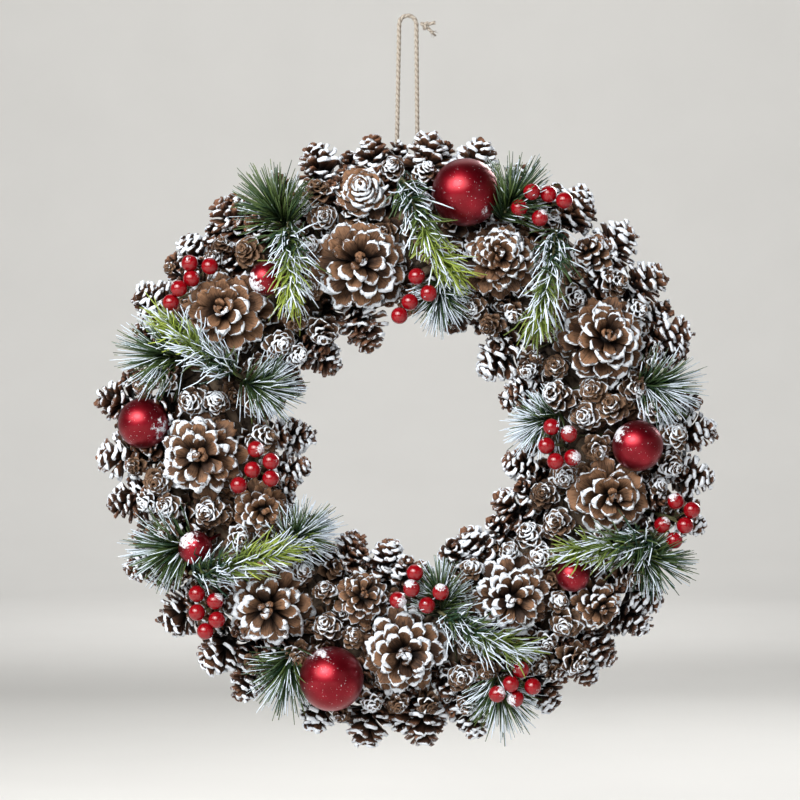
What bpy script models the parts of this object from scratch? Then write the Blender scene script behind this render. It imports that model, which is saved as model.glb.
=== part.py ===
"""Pinecone wreath that hangs by a loop of twine.

The wreath is laid out in its own frame, in millimetres: x to the right, y up and z out towards
the viewer, with the centre of the wreath at x = y = 0 and the flat back of the ring at z = 0.
An empty turns that frame upright, front to -Y, with the hook point of the twine at the origin.
"""

import math
import random

import bmesh
import bpy
from mathutils import Vector
from mathutils.bvhtree import BVHTree

MM = 0.001

# Driving dimensions, in millimetres
RING_RADIUS = 121.0
RING_HALF_WIDTH = 33.0
RING_DEPTH = 26.0
RING_SIDE = 8.0
HANG_DROP = 253.0
TWINE_WIDTH = 2.8
TWINE_PLANE = 5.0
TWINE_BEND = 5.2
TWINE_FOOT = 153.75
WIRE_RADIUS = 0.9
STALK_RADIUS = 2.2
BERRY_WIDTH = 10.0
BERRY_STALK = 1.3
BERRY_STEM = 0.6
STEM_RADIUS = 1.3
STEM_SIDES = 5
WHORL_WIDTH = 1.5
SPRIG_WHORLS = 4
SPRIG_SLANT = math.radians(48)
SPRIG_NEEDLE = 15.0
GAP = 0.42
CLEAR = 0.3

# Whorls of a fan: distance back from the end of the stem, slant, share of the full length
FAN_WHORLS = [(7.5, 78, 0.82), (4.8, 56, 0.92), (2.2, 28, 1.0)]

# Ways to join a node's solids, tried in turn until the node comes out sound
UNION_WAYS = [("EXACT", "BEAUTY"), ("MANIFOLD", "BEAUTY"), ("EXACT", "EAR_CLIP"), ("MANIFOLD", "EAR_CLIP")]

OUTWARD = Vector((0.0, 0.0, 1.0))
RANDOM = random.Random(7)

# Big cones seen from the tip: centre x, y, width, and how far the tip leans right and up
BIG_CONES = [
    (-28, 103, 54, 0.05, 0.10),
    (54, 106, 45, 0.05, 0.15),
    (116, 58, 52, 0.15, 0.10),
    (-109, 74, 50, -0.15, 0.10),
    (-122, -11, 51, -0.10, 0.00),
    (120, -35, 46, 0.10, -0.05),
    (61, -95, 47, 0.00, -0.10),
    (-2, -127, 50, 0.00, -0.10),
    (-82, -100, 52, -0.10, -0.10),
    (-86, -43, 32, 0.20, -0.10),
    (-27, 146, 31, -0.05, 0.20),
    (113, -100, 33, 0.35, -0.35),
    (-27, -94, 32, 0.10, 0.25),
    (107, 110, 27, -0.55, 0.45),
]

# Baubles: centre x, y, width, height of the centre above the back
BAUBLES = [
    (34, 144, 40, 44),
    (-45, -142, 38, 46),
    (-157, 8, 30, 33),
    (135, -5, 30, 46),
    (97, -81, 20, 44),
    (-125, -65, 20, 46),
    (-83, 93, 20, 50),
]

# Berry bunches: places of the berries, and the height of the bunch above the back
BERRY_BUNCHES = [
    ([(-128, 102), (-116, 100), (-127, 93), (-134, 87), (-139, 79)], 50),
    ([(65, 134), (72, 143), (82, 142), (91, 138), (77, 128)], 56),
    ([(5, 94), (12, 84), (1, 79), (-5, 71)], 54),
    ([(84, 6), (94, 2), (81, -5), (86, -14), (96, -12)], 52),
    ([(158, -38), (167, -43), (150, -52), (163, -52), (157, -61)], 42),
    ([(-89, -7), (-80, -14), (-91, -19), (-80, -24), (-99, -28)], 54),
    ([(-124, -92), (-113, -96), (-124, -103), (-112, -107), (-119, -114)], 48),
    ([(4, -79), (2, -88), (-6, -95), (19, -90), (11, -98)], 56),
    ([(66, -136), (60, -144), (73, -146), (52, -150), (63, -153)], 52),
]

# Pine picks: each has one or more sprays. A fan spreads its needles from the end of its stem,
# and a sprig carries short needles all along. Both give the points of the stem that shows,
# x, y, z, and a fan the way that it opens and the length of its needles.
PINE_PICKS = [
    [
        ("fan", [(-72, 124, 42), (-78, 134, 46)], (-0.50, 0.80, 0.15), 34),
        ("sprig", [(-70, 124, 52), (-69, 105, 60), (-68, 90, 58), (-68, 74, 50)]),
    ],
    [("sprig", [(-3, 152, 44), (6, 128, 58), (14, 108, 60), (25, 87, 52)])],
    [("fan", [(58, 128, 44), (62, 140, 46)], (0.50, 0.80, 0.10), 33)],
    [("fan", [(19, 92, 40), (19, 82, 42)], (0.0, -1.0, 0.15), 27)],
    [("sprig", [(87, 122, 46), (84, 100, 60), (80, 78, 58), (76, 58, 50)])],
    [("fan", [(138, 30, 36), (148, 30, 38)], (1.0, -0.08, 0.15), 32)],
    [("fan", [(88, 10, 36), (78, 8, 38)], (-0.95, -0.35, 0.15), 27)],
    [
        ("sprig", [(145, -60, 46), (128, -62, 56), (108, -66, 56), (88, -68, 50)]),
        ("fan", [(138, -68, 36), (146, -73, 38)], (0.95, -0.38, 0.10), 30),
    ],
    [
        ("fan", [(19, -102, 42), (19, -92, 44)], (0.0, 1.0, 0.20), 27),
        ("sprig", [(20, -103, 54), (38, -114, 62), (55, -123, 58), (72, -129, 50)]),
    ],
    [("fan", [(54, -140, 36), (55, -152, 36)], (0.20, -1.0, 0.10), 32)],
    [("fan", [(-68, -128, 36), (-71, -138, 38)], (-0.25, -1.0, 0.10), 33)],
    [
        ("sprig", [(-127, -80, 48), (-106, -74, 60), (-84, -68, 60), (-64, -63, 52)]),
        ("fan", [(-128, -62, 34), (-140, -66, 36)], (-1.0, -0.15, 0.10), 35),
    ],
    [("fan", [(-72, -62, 36), (-63, -57, 40)], (0.80, 0.55, 0.15), 29)],
    [
        ("sprig", [(-99, 36, 48), (-116, 48, 58), (-132, 61, 56), (-147, 75, 46)]),
        ("fan", [(-95, 33, 40), (-85, 29, 42)], (1.0, -0.25, 0.15), 30),
    ],
    [("fan", [(-134, 46, 36), (-144, 48, 38)], (-1.0, 0.12, 0.10), 36)],
]

# Cones that lie on the outer side of the ring and point out: angle in degrees, distance of the
# middle from the wreath's centre, length, width, height above the back
RIM_STRINGS = {
    "outer_cones_top_left": [
        (97, 170, 27, 20, 21),
        (108, 171, 26, 24, 16),
        (129, 170, 25, 22, 15),
        (139, 168, 24, 22, 15),
        (152, 172, 26, 24, 15),
    ],
    "outer_cones_left": [
        (173, 176, 24, 22, 15),
        (184, 174, 26, 24, 15),
        (193, 172, 26, 22, 15),
        (206, 177, 20, 19, 15),
        (218, 172, 28, 26, 15),
    ],
    "outer_cones_bottom_left": [
        (229, 172, 26, 25, 15),
        (237, 178, 22, 18, 15),
        (252, 175, 24, 20, 15),
        (262, 174, 26, 25, 15),
        (273, 172, 26, 25, 15),
    ],
    "outer_cones_bottom_right": [
        (283, 175, 22, 19, 15),
        (298, 175, 22, 20, 15),
        (307, 177, 18, 15, 15),
        (312, 172, 24, 20, 15),
        (321, 174, 24, 20, 15),
    ],
    "outer_cones_right": [
        (326, 171, 24, 21, 15),
        (343, 178, 20, 15, 15),
        (352, 174, 24, 20, 15),
        (1, 174, 24, 20, 15),
        (21, 168, 26, 24, 15),
    ],
    "outer_cones_top_right": [
        (33, 170, 26, 24, 15),
        (43, 171, 27, 24, 15),
        (54, 171, 25, 22, 15),
        (76, 170, 26, 24, 15),
        (86, 170, 27, 22, 20),
    ],
    "inner_cones_left": [
        (112, 68, 25, 22, 18),
        (137, 69, 25, 20, 18),
        (180, 66, 24, 18, 16),
        (196, 71, 24, 18, 18),
    ],
    "inner_cones_bottom": [
        (243, 76, 22, 20, 18),
        (261, 74, 24, 21, 18),
        (301, 77, 22, 22, 18),
    ],
    "inner_cones_right": [
        (326, 75, 25, 22, 18),
        (346, 69, 22, 18, 16),
        (20, 71, 24, 20, 18),
        (40, 70, 26, 23, 18),
    ],
}

# Small cones on the front, each with the string that its wire belongs to: x, y, width
SMALL_CONES = {
    "outer_cones_top_left": [
        (-9, 160, 15),
        (-53, 146, 18),
        (-64, 137, 14),
        (-95, 110, 20),
        (-50, 130, 17),
    ],
    "outer_cones_left": [
        (-145, 35, 19),
        (-149, -27, 17),
        (-162, -18, 13),
        (-143, -41, 17),
        (-143, -57, 15),
        (-129, 21, 17),
        (-113, 21, 15),
        (-118, -45, 20),
        (-99, -60, 15),
    ],
    "outer_cones_bottom_left": [
        (-91, -136, 15),
        (-65, -130, 18),
        (-21, -158, 14),
        (13, -159, 15),
    ],
    "outer_cones_bottom_right": [
        (35, -160, 14),
        (47, -139, 15),
        (32, -143, 18),
        (82, -122, 13),
        (100, -132, 21),
        (93, -111, 20),
    ],
    "outer_cones_right": [
        (132, -81, 20),
        (156, -17, 18),
        (158, 1, 18),
        (146, 17, 17),
    ],
    "outer_cones_top_right": [
        (124, 91, 18),
        (99, 81, 17),
        (85, 129, 14),
        (11, 157, 17),
    ],
    "inner_cones_left": [
        (-50, 61, 20),
        (-65, 69, 18),
        (-75, 54, 19),
        (-57, 87, 14),
        (-58, 112, 14),
        (-84, -1, 20),
        (-90, 20, 18),
        (-88, 41, 15),
    ],
    "inner_cones_bottom": [
        (-48, -111, 18),
        (-49, -90, 14),
        (-62, -79, 15),
        (-32, -118, 14),
        (37, -78, 14),
        (34, -98, 14),
        (37, -123, 17),
    ],
    "inner_cones_right": [
        (38, 77, 17),
        (48, 66, 17),
        (63, 72, 14),
        (84, 64, 14),
        (87, 42, 15),
    ],
    "small_cones_right": [
        (87, 25, 21),
        (109, 28, 18),
        (104, 12, 19),
        (120, 18, 20),
        (135, 30, 18),
        (112, -8, 18),
        (93, -24, 15),
    ],
    "small_cones_lower_right": [
        (80, -34, 18),
        (88, -51, 20),
        (71, -57, 18),
        (78, -71, 17),
    ],
}


def material(name, colour, roughness, metallic=0.0):
    made = bpy.data.materials.new(name)
    made.use_nodes = True
    shader = made.node_tree.nodes["Principled BSDF"]
    shader.inputs["Base Color"].default_value = (*colour, 1.0)
    shader.inputs["Roughness"].default_value = roughness
    shader.inputs["Metallic"].default_value = metallic
    made.diffuse_color = (*colour, 1.0)
    return made


# A solid is a pair: its corners, and its faces as lists of corner numbers


def loft(points, radii, sides, turn=0.0):
    """Closed tube through the points, with a radius at each; a radius of 0 makes a tip."""
    points = [Vector(p) for p in points]
    corners = []
    rows = []
    whole = (points[-1] - points[0]).normalized()
    reference = Vector((0, 0, 1)) if abs(whole.z) < 0.8 else Vector((0, 1, 0))
    for i, (point, radius) in enumerate(zip(points, radii)):
        ahead = points[min(i + 1, len(points) - 1)] - points[max(i - 1, 0)]
        side = ahead.cross(reference).normalized()
        rise = side.cross(ahead).normalized()
        if radius == 0:
            rows.append([len(corners)])
            corners.append(point)
            continue
        row = []
        for k in range(sides):
            angle = turn + 2 * math.pi * k / sides
            row.append(len(corners))
            corners.append(point + (side * math.cos(angle) + rise * math.sin(angle)) * radius)
        rows.append(row)
    faces = []
    for low, high in zip(rows, rows[1:]):
        for k in range(sides):
            n = (k + 1) % sides
            if len(low) == 1:
                faces.append([low[0], high[n], high[k]])
            elif len(high) == 1:
                faces.append([low[k], low[n], high[0]])
            else:
                faces.append([low[k], low[n], high[n], high[k]])
    if len(rows[0]) > 1:
        faces.append(rows[0][::-1])
    if len(rows[-1]) > 1:
        faces.append(rows[-1])
    return corners, faces


def ball(centre, width, sides, rows):
    """Sphere as a lofted tube from pole to pole."""
    points = []
    radii = []
    for i in range(rows + 1):
        angle = math.pi * i / rows
        points.append(Vector(centre) - OUTWARD * math.cos(angle) * width / 2)
        radii.append(0 if i in (0, rows) else math.sin(angle) * width / 2)
    return loft(points, radii, sides, turn=RANDOM.random())


def place_along(points, distance):
    """Point on a polyline at this distance from its start."""
    for a, b in zip(points, points[1:]):
        leg = (b - a).length
        if distance <= leg or b is points[-1]:
            return a + (b - a) * (distance / leg)
        distance -= leg


def brush(points, whorls, fits):
    """Stem through the points with whorls of three-sided needles that grow from its faces.

    Each whorl is its distance along the stem, the slant of its needles and their length. The
    fits function says whether a needle is clear.
    """
    total = sum((b - a).length for a, b in zip(points, points[1:]))
    cuts = [0.0]
    distance = 0.0
    starts = [w[0] for w in whorls]
    for a, b in zip(points[:-1], points[1:-1]):
        distance += (b - a).length
        if all(not -0.8 < distance - w < WHORL_WIDTH + 0.8 for w in starts):
            cuts.append(distance)
    for w in starts:
        cuts += [w, w + WHORL_WIDTH]
    cuts = sorted(cuts) + [total]
    path = [place_along(points, c) for c in cuts]
    radii = [STEM_RADIUS * (1 - 0.35 * c / total) for c in cuts[:-1]] + [0]
    corners, plain = loft(path, radii, STEM_SIDES, turn=RANDOM.random())
    faces = []
    for face in plain:
        row = min(face) // STEM_SIDES
        if len(face) != 4 or cuts[row] not in starts:
            faces.append(face)
            continue
        _, slant, length = whorls[starts.index(cuts[row])]
        tangent = (path[row + 1] - path[row]).normalized()
        for part in ([face[0], face[1], face[2]], [face[0], face[2], face[3]]):
            root = sum((corners[i] for i in part), Vector()) / 3
            out = root - path[row]
            out = (out - tangent * out.dot(tangent)).normalized()
            aim = tangent * math.cos(slant) + out * math.sin(slant)
            reach = length * RANDOM.uniform(0.8, 1.0)
            for short in (1.0, 0.8, 0.6, 0.4):
                tip = root + aim * reach * short
                needle = [corners[i] for i in part] + [tip]
                if fits((needle, [[0, 1, 2], [0, 1, 3], [1, 2, 3], [2, 0, 3]])):
                    corners.append(tip)
                    last = len(corners) - 1
                    faces += [[part[i], part[(i + 1) % 3], last] for i in range(3)]
                    break
            else:
                faces.append(part)
    return corners, faces


# Outline of one scale from its middle to the next scale's: part of the way round, reach, lift
POINTED = [(0.0, 1.0, 0.05), (0.5, 0.72, 0.0)]
ROUNDED = [(0.0, 1.0, 0.06), (0.32, 0.92, 0.03), (0.5, 0.60, 0.0), (0.68, 0.92, 0.03)]


def scaly_cone(base, axis, length, width, tiers, scales, taper, outline, clip, foot=None):
    """Closed cone whose scales stand out in tiers, each tier half a scale on from the last.

    The clip function shortens a scale that would come near another node. With a foot, the cone
    stands on a stalk that ends there.
    """
    side = axis.orthogonal().normalized()
    rise = axis.cross(side)
    turn = RANDOM.random() * math.pi
    step = 2 * math.pi / scales
    around = len(outline)

    def corner(angle, radius, height):
        out = side * math.cos(angle + turn) + rise * math.sin(angle + turn)
        start = base + axis * height
        return start + out * clip(start, out, radius)

    corners = []
    faces = []
    star = None
    if foot:
        for j in range(scales):
            out = side * math.cos(j * step + turn) + rise * math.sin(j * step + turn)
            corners.append(foot + out * STALK_RADIUS)
        faces.append(list(range(scales))[::-1])
    else:
        corners.append(base)
    for k in range(tiers):
        shift = k * step / 2
        reach = width / 2 * (1 - taper * k / (tiers - 1))
        part = (k + 0.75) / (tiers + 0.35)
        crease = len(corners)
        if star is not None or foot:
            depth = part - 0.62 / (tiers + 0.35)
            for j in range(scales):
                corners.append(corner(j * step + shift, reach * 0.56, length * depth))
            if star is None:
                crease_under(faces, crease, scales)
            else:
                close_over(faces, star, crease, scales, around)
        first = len(corners)
        for j in range(scales):
            for turned, out, lift in outline:
                angle = (j + turned) * step + shift
                corners.append(corner(angle, reach * out, length * (part + lift)))
        if star is None and not foot:
            ring = scales * around
            faces += [[0, first + (j + 1) % ring, first + j] for j in range(ring)]
        else:
            open_under(faces, crease, first, scales, around)
        star = first
    top = len(corners)
    corners.append(base + axis * length)
    ring = scales * around
    faces += [[star + j, star + (j + 1) % ring, top] for j in range(ring)]
    return corners, faces


def crease_under(faces, crease, scales):
    """Sides of the stalk, from its foot to the crease under the first tier."""
    for j in range(scales):
        n = (j + 1) % scales
        faces.append([j, n, crease + n, crease + j])


def close_over(faces, star, crease, scales, around):
    """Upper faces of a tier, from its outline in to the crease above it."""
    for j in range(scales):
        n = (j + 1) % scales
        for i in range(around):
            a = star + j * around + i
            b = star + (j * around + i + 1) % (scales * around)
            faces.append([a, b, crease + j])
        faces.append([star + n * around, crease + n, crease + j])


def open_under(faces, crease, first, scales, around):
    """Lower faces of a tier, from the crease out to its outline."""
    half = around // 2
    for j in range(scales):
        n = (j + 1) % scales
        for i in range(around):
            a = first + j * around + i
            b = first + (j * around + i + 1) % (scales * around)
            faces.append([crease + (j if i < half else n), b, a])
        faces.append([crease + j, crease + n, first + j * around + half])


class Layout:
    """Every solid placed so far, by node, so that the next one can be kept clear of them."""

    def __init__(self):
        self.solids = {}
        self.trees = []

    def add(self, name, solid):
        self.solids.setdefault(name, []).append(solid)
        self.claim(name, solid)

    def claim(self, name, solid):
        """Keeps the room of a solid without making it a part of its node."""
        made = as_bmesh(solid)
        self.trees.append((name, BVHTree.FromBMesh(made), *limits(solid[0])))
        made.free()

    def near(self, name, low, high):
        """Trees of the other nodes that reach into this box."""
        return [
            (tree, *box)
            for other, tree, *box in self.trees
            if other != name and all(low[i] < box[1][i] and high[i] > box[0][i] for i in range(3))
        ]

    def free(self, name, solid):
        """True if the solid keeps its distance from every other node."""
        corners, faces = swollen(solid, CLEAR)
        low, high = limits(corners)
        if low.z < GAP:
            return False
        tree = BVHTree.FromPolygons(corners, faces)
        middle = sum(solid[0], Vector()) / len(solid[0])
        for other, other_low, other_high in self.near(name, low, high):
            if tree.overlap(other):
                return False
            place, normal, _, _ = other.find_nearest(middle)
            if (middle - place).dot(normal) < 0 and all(
                other_low[i] < middle[i] < other_high[i] for i in range(3)
            ):
                return False
        return True

    def clip(self, name, centre, size):
        """Function that shortens a reach so that it ends before any other node."""
        box = Vector((size, size, size))
        near = self.near(name, centre - box, centre + box)

        def shortened(start, way, reach):
            for tree, _, _ in near:
                hit = tree.ray_cast(start, way, reach + 2 * CLEAR)
                if hit[0] is not None:
                    reach = min(reach, max(0.5, hit[3] - 3 * CLEAR))
            return reach

        return shortened


def limits(corners):
    low = Vector([min(c[i] for c in corners) for i in range(3)])
    high = Vector([max(c[i] for c in corners) for i in range(3)])
    return low, high


def as_bmesh(solid):
    corners, faces = solid
    made = bmesh.new()
    points = [made.verts.new(c) for c in corners]
    for face in faces:
        made.faces.new([points[i] for i in face])
    bmesh.ops.recalc_face_normals(made, faces=made.faces)
    if made.calc_volume(signed=True) < 0:
        bmesh.ops.reverse_faces(made, faces=made.faces)
    return made


def swollen(solid, amount):
    """The solid with each corner pushed out along its normal."""
    made = as_bmesh(solid)
    made.normal_update()
    corners = [v.co + v.normal * amount for v in made.verts]
    made.free()
    return corners, solid[1]


def ring_point(angle, around):
    """Point on the front of the ring: around runs from 0, outer side, to pi, inner side."""
    radius = RING_RADIUS + RING_HALF_WIDTH * math.cos(around)
    height = RING_SIDE + (RING_DEPTH - RING_SIDE) * math.sin(around)
    return Vector((radius * math.cos(angle), radius * math.sin(angle), height))


def base_ring():
    """Vine ring: flat back, upright sides, rounded front with the ridges of its twisted stems."""
    turns = 28
    across = 5
    ridges = 9
    corners = []
    faces = []
    for i in range(turns):
        angle = 2 * math.pi * i / turns
        swell = 0.6 * math.sin(ridges * angle)
        outer = RING_RADIUS + RING_HALF_WIDTH
        inner = RING_RADIUS - RING_HALF_WIDTH
        section = [(inner, 0), (outer, 0)]
        for k in range(across):
            point = ring_point(0.0, math.pi * k / (across - 1))
            section.append((point.x, point.z - (0.6 + swell if 0 < k < across - 1 else 0)))
        corners += [Vector((r * math.cos(angle), r * math.sin(angle), z)) for r, z in section]
    count = len(corners) // turns
    for i in range(turns):
        here = i * count
        there = (i + 1) % turns * count
        for k in range(count):
            n = (k + 1) % count
            faces.append([here + k, here + n, there + n, there + k])
    return corners, faces


class Ring:
    """Finds the seat of a stalk or wire on the faceted ring."""

    def __init__(self, solid):
        made = as_bmesh(solid)
        bmesh.ops.triangulate(made, faces=made.faces)
        self.tree = BVHTree.FromBMesh(made)
        made.free()

    def seat(self, x, y, radius, start):
        """End of a stalk of this radius that comes from start and stops just above the ring."""
        distance = math.hypot(x, y)
        reach = (distance - RING_RADIUS) / (1.15 * RING_HALF_WIDTH)
        around = math.acos(max(-0.97, min(0.97, reach)))
        place, normal, _, _ = self.tree.find_nearest(ring_point(math.atan2(y, x), around))
        if normal.dot(start - place) < 0:
            normal = -normal
        slant = (start - place).normalized().cross(normal).length
        return place + normal * (GAP + radius * slant)


def lean(right, up):
    return Vector((right, up, 1.0)).normalized()


def place_baubles(layout, ring):
    for i, (x, y, width, height) in enumerate(BAUBLES, 1):
        name = f"bauble_{i}"
        centre = Vector((x, y, height))
        foot = ring.seat(x * 0.9, y * 0.9, WIRE_RADIUS, centre)
        down = (foot - centre).normalized()
        neck = centre + down * (width / 2 + 2.0)
        big = width > 25
        layout.add(name, ball(centre, width, 10 if big else 8, 6 if big else 5))
        cap = [centre + down * (width / 2 - 2.5), neck]
        layout.add(name, loft(cap, [width * 0.16, width * 0.13], 5))
        layout.add(name, loft([centre + down * width * 0.42, foot], [WIRE_RADIUS, WIRE_RADIUS], 3))


def place_berries(layout, ring):
    """Each bunch is a stalk with stems that leave it one above another, and a berry on each."""
    for i, (places, height) in enumerate(BERRY_BUNCHES, 1):
        name = f"berries_{i}"
        middle = Vector((sum(p[0] for p in places), sum(p[1] for p in places), 0)) / len(places)
        hub = Vector((middle.x, middle.y, height - 12))
        foot = ring.seat(middle.x, middle.y, BERRY_STALK, hub)
        layout.add(name, loft([foot, hub + OUTWARD * 2], [BERRY_STALK, BERRY_STALK], 5))
        for k, (x, y) in enumerate(places):
            centre = Vector((x, y, height + (2.2 if k % 2 else -1.2)))
            start = hub.lerp(foot, 0.15 * k)
            way = (centre - start).normalized()
            size = BERRY_WIDTH / 2
            points = [start, centre - way * size, centre - way * size * 0.45]
            points += [centre + way * size * 0.45, centre + way * size]
            layout.add(name, loft(points, [BERRY_STEM, BERRY_STEM, size * 0.98, size * 0.98, 0], 5))


def spray_points(ring, spray, start):
    """Points of a spray's stem from its foot on the ring, and its whorls of needles."""
    kind, shown = spray[0], [Vector(p) for p in spray[1]]
    if kind == "fan":
        way = Vector(spray[2]).normalized()
        shown = [shown[-1] - way * 9, shown[-1]]
    foot = start or ring.seat(shown[0].x, shown[0].y, STEM_RADIUS, shown[0])
    points = [foot] + shown
    total = sum((b - a).length for a, b in zip(points, points[1:]))
    if kind == "fan":
        length = spray[3]
        whorls = [(total - back, math.radians(slant), length * part) for back, slant, part in FAN_WHORLS]
    else:
        first = (shown[0] - foot).length
        gap = (total - first - 3) / (SPRIG_WHORLS - 1)
        whorls = [(first + gap * k, SPRIG_SLANT, SPRIG_NEEDLE) for k in range(SPRIG_WHORLS)]
        whorls[-1] = (total - 3, SPRIG_SLANT * 0.7, SPRIG_NEEDLE)
    return points, whorls


def place_stems(layout, ring):
    """Room for the stems of the pine picks; the needles follow when the cones are in."""
    stems = []
    for i, sprays in enumerate(PINE_PICKS, 1):
        name = f"pine_{i:02d}"
        start = None
        for spray in sprays:
            points, whorls = spray_points(ring, spray, start)
            start = points[0].lerp(points[1], 0.45)
            layout.claim(name, loft(points, [STEM_RADIUS] * len(points), 4))
            stems.append((name, points, whorls))
    return stems


def place_big_cones(layout, ring):
    """Big cones on their stalks, made a little smaller where they would meet a neighbour."""
    for i, (x, y, width, right, up) in enumerate(BIG_CONES, 1):
        name = f"cone_{i:02d}"
        axis = lean(right, up)
        big = width > 40
        length = width * (0.62 if big else 0.8)
        bottom = Vector((x, y, 0)) - axis * length * 0.5
        foot = ring.seat(bottom.x, bottom.y, STALK_RADIUS, bottom + axis * 1000)
        base = Vector((bottom.x, bottom.y, foot.z + 5))
        clip = layout.clip(name, base + axis * length / 2, width)
        shape = (4, 7, 0.70, ROUNDED) if big else (4, 6, 0.66, POINTED)
        state = RANDOM.getstate()
        for size in (1.0, 0.96, 0.92, 0.88, 0.82, 0.76, 0.7):
            RANDOM.setstate(state)
            body = scaly_cone(base, axis, length, width * size, *shape, clip, foot)
            if layout.free(name, body):
                break
        layout.add(name, body)


def settled(layout, name, centre, axis, length, width, shape):
    """A small cone and its hub, moved or shrunk a little until it is clear, or None."""
    for size in (1.0, 0.9, 0.8):
        for shift in (0, -3, 3, -6, 6, 9):
            middle = centre + OUTWARD * shift
            base = middle - axis * length * size * 0.5
            clip = layout.clip(name, middle, max(length, width))
            state = RANDOM.getstate()
            body = scaly_cone(base, axis, length * size, width * size, *shape, clip)
            if layout.free(name, body):
                return body, base + axis * length * size * 0.22
            RANDOM.setstate(state)
    return None


def place_string(layout, ring, name):
    """Cones of one string, then the wires that join them and hold them to the ring."""
    hubs = []
    for angle, distance, length, width, height in RIM_STRINGS.get(name, []):
        turn = math.radians(angle)
        axis = Vector((math.cos(turn), math.sin(turn), 0.12)).normalized()
        if distance < RING_RADIUS:
            axis = Vector((-axis.x, -axis.y, 0.25)).normalized()
        centre = Vector((distance * math.cos(turn), distance * math.sin(turn), height))
        found = settled(layout, name, centre, axis, length, width, (3, 4, 0.35, POINTED))
        if found:
            layout.add(name, found[0])
            hubs.append(found[1])
    for x, y, width in SMALL_CONES.get(name, []):
        distance = math.hypot(x, y)
        outward = (distance - RING_RADIUS) / RING_HALF_WIDTH * 0.5
        axis = Vector((x / distance * outward, y / distance * outward, 1.0))
        axis += Vector((RANDOM.uniform(-0.3, 0.3), RANDOM.uniform(-0.3, 0.3), 0))
        axis.normalize()
        centre = Vector((x, y, 40 - 5 * abs(outward)))
        shape = (2, 5 if width > 18 else 4, 0.45, POINTED)
        found = settled(layout, name, centre, axis, width * 0.85, width, shape)
        if found:
            layout.add(name, found[0])
            hubs.append(found[1])
    join_hubs(layout, ring, name, hubs)


def join_hubs(layout, ring, name, hubs):
    """Straight wires between neighbouring cones, as few as join them all, and two to the ring."""
    group = list(range(len(hubs)))
    pairs = [(hubs[a] - hubs[b]).length for a in range(len(hubs)) for b in range(a)]
    index = [(a, b) for a in range(len(hubs)) for b in range(a)]
    for _, (a, b) in sorted(zip(pairs, index)):
        if group[a] == group[b]:
            continue
        wire = loft([hubs[a], hubs[b]], [WIRE_RADIUS, WIRE_RADIUS], 3, turn=RANDOM.random())
        if layout.free(name, wire):
            layout.add(name, wire)
            group = [group[b] if g == group[a] else g for g in group]
    for hub in sorted(hubs, key=lambda h: (h - ring.seat(h.x, h.y, WIRE_RADIUS, h)).length):
        foot = ring.seat(hub.x, hub.y, WIRE_RADIUS, hub)
        wire = loft([hub, foot], [WIRE_RADIUS, WIRE_RADIUS], 3)
        if layout.free(name, wire):
            layout.add(name, wire)
            break


def place_needles(layout, stems):
    """The pine picks themselves: each stem with the needles that find room."""
    for name, points, whorls in stems:

        def fits(needle):
            if not layout.free(name, needle):
                return False
            layout.claim(name, needle)
            return True

        layout.solids.setdefault(name, []).append(brush(points, whorls, fits))


def joined(name, solids, solver):
    """One mesh from a node's solids, joined by a Boolean union."""
    objects = []
    for solid in solids:
        made = as_bmesh(solid)
        mesh = bpy.data.meshes.new(name)
        made.to_mesh(mesh)
        made.free()
        objects.append(bpy.data.objects.new(name, mesh))
    body = objects[0]
    bpy.context.scene.collection.objects.link(body)
    if len(objects) > 1:
        rest = bpy.data.collections.new(name)
        for extra in objects[1:]:
            rest.objects.link(extra)
        bpy.context.scene.collection.children.link(rest)
        union = body.modifiers.new("union", "BOOLEAN")
        union.operation = "UNION"
        union.operand_type = "COLLECTION"
        union.collection = rest
        union.solver = solver
        graph = bpy.context.evaluated_depsgraph_get()
        result = bpy.data.meshes.new_from_object(body.evaluated_get(graph))
        bpy.data.objects.remove(body)
        for extra in objects[1:]:
            bpy.data.objects.remove(extra)
        bpy.data.collections.remove(rest)
    else:
        result = body.data.copy()
        bpy.data.objects.remove(body)
    return result


def cleaned(mesh, cut):
    """Triangulated mesh in metres without loose scraps or sealed hollows, and whether it is sound."""
    made = bmesh.new()
    made.from_mesh(mesh)
    bmesh.ops.triangulate(made, faces=made.faces, ngon_method=cut)
    bmesh.ops.dissolve_degenerate(made, dist=0.001, edges=made.edges)
    bmesh.ops.triangulate(made, faces=made.faces)
    keep_largest(made)
    sound = all(len(edge.link_faces) == 2 for edge in made.edges) and made.calc_volume() > 0
    bmesh.ops.scale(made, vec=(MM, MM, MM), verts=made.verts)
    made.to_mesh(mesh)
    made.free()
    return sound


def keep_largest(made):
    """Drops every shell but the one with the most faces."""
    left = set(made.faces)
    shells = []
    while left:
        shell = []
        stack = [left.pop()]
        while stack:
            face = stack.pop()
            shell.append(face)
            for edge in face.edges:
                for near in edge.link_faces:
                    if near in left:
                        left.remove(near)
                        stack.append(near)
        shells.append(shell)
    shells.sort(key=len)
    for shell in shells[:-1]:
        bmesh.ops.delete(made, geom=shell, context="FACES")
    loose = [v for v in made.verts if not v.link_faces]
    bmesh.ops.delete(made, geom=loose, context="VERTS")


def finish_node(name, solids, look, holder):
    for solver, cut in UNION_WAYS:
        mesh = joined(name, solids, solver)
        if cleaned(mesh, cut):
            break
    mesh.materials.clear()
    mesh.materials.append(look)
    made = bpy.data.objects.new(name, mesh)
    made.parent = holder
    bpy.context.scene.collection.objects.link(made)


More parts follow.
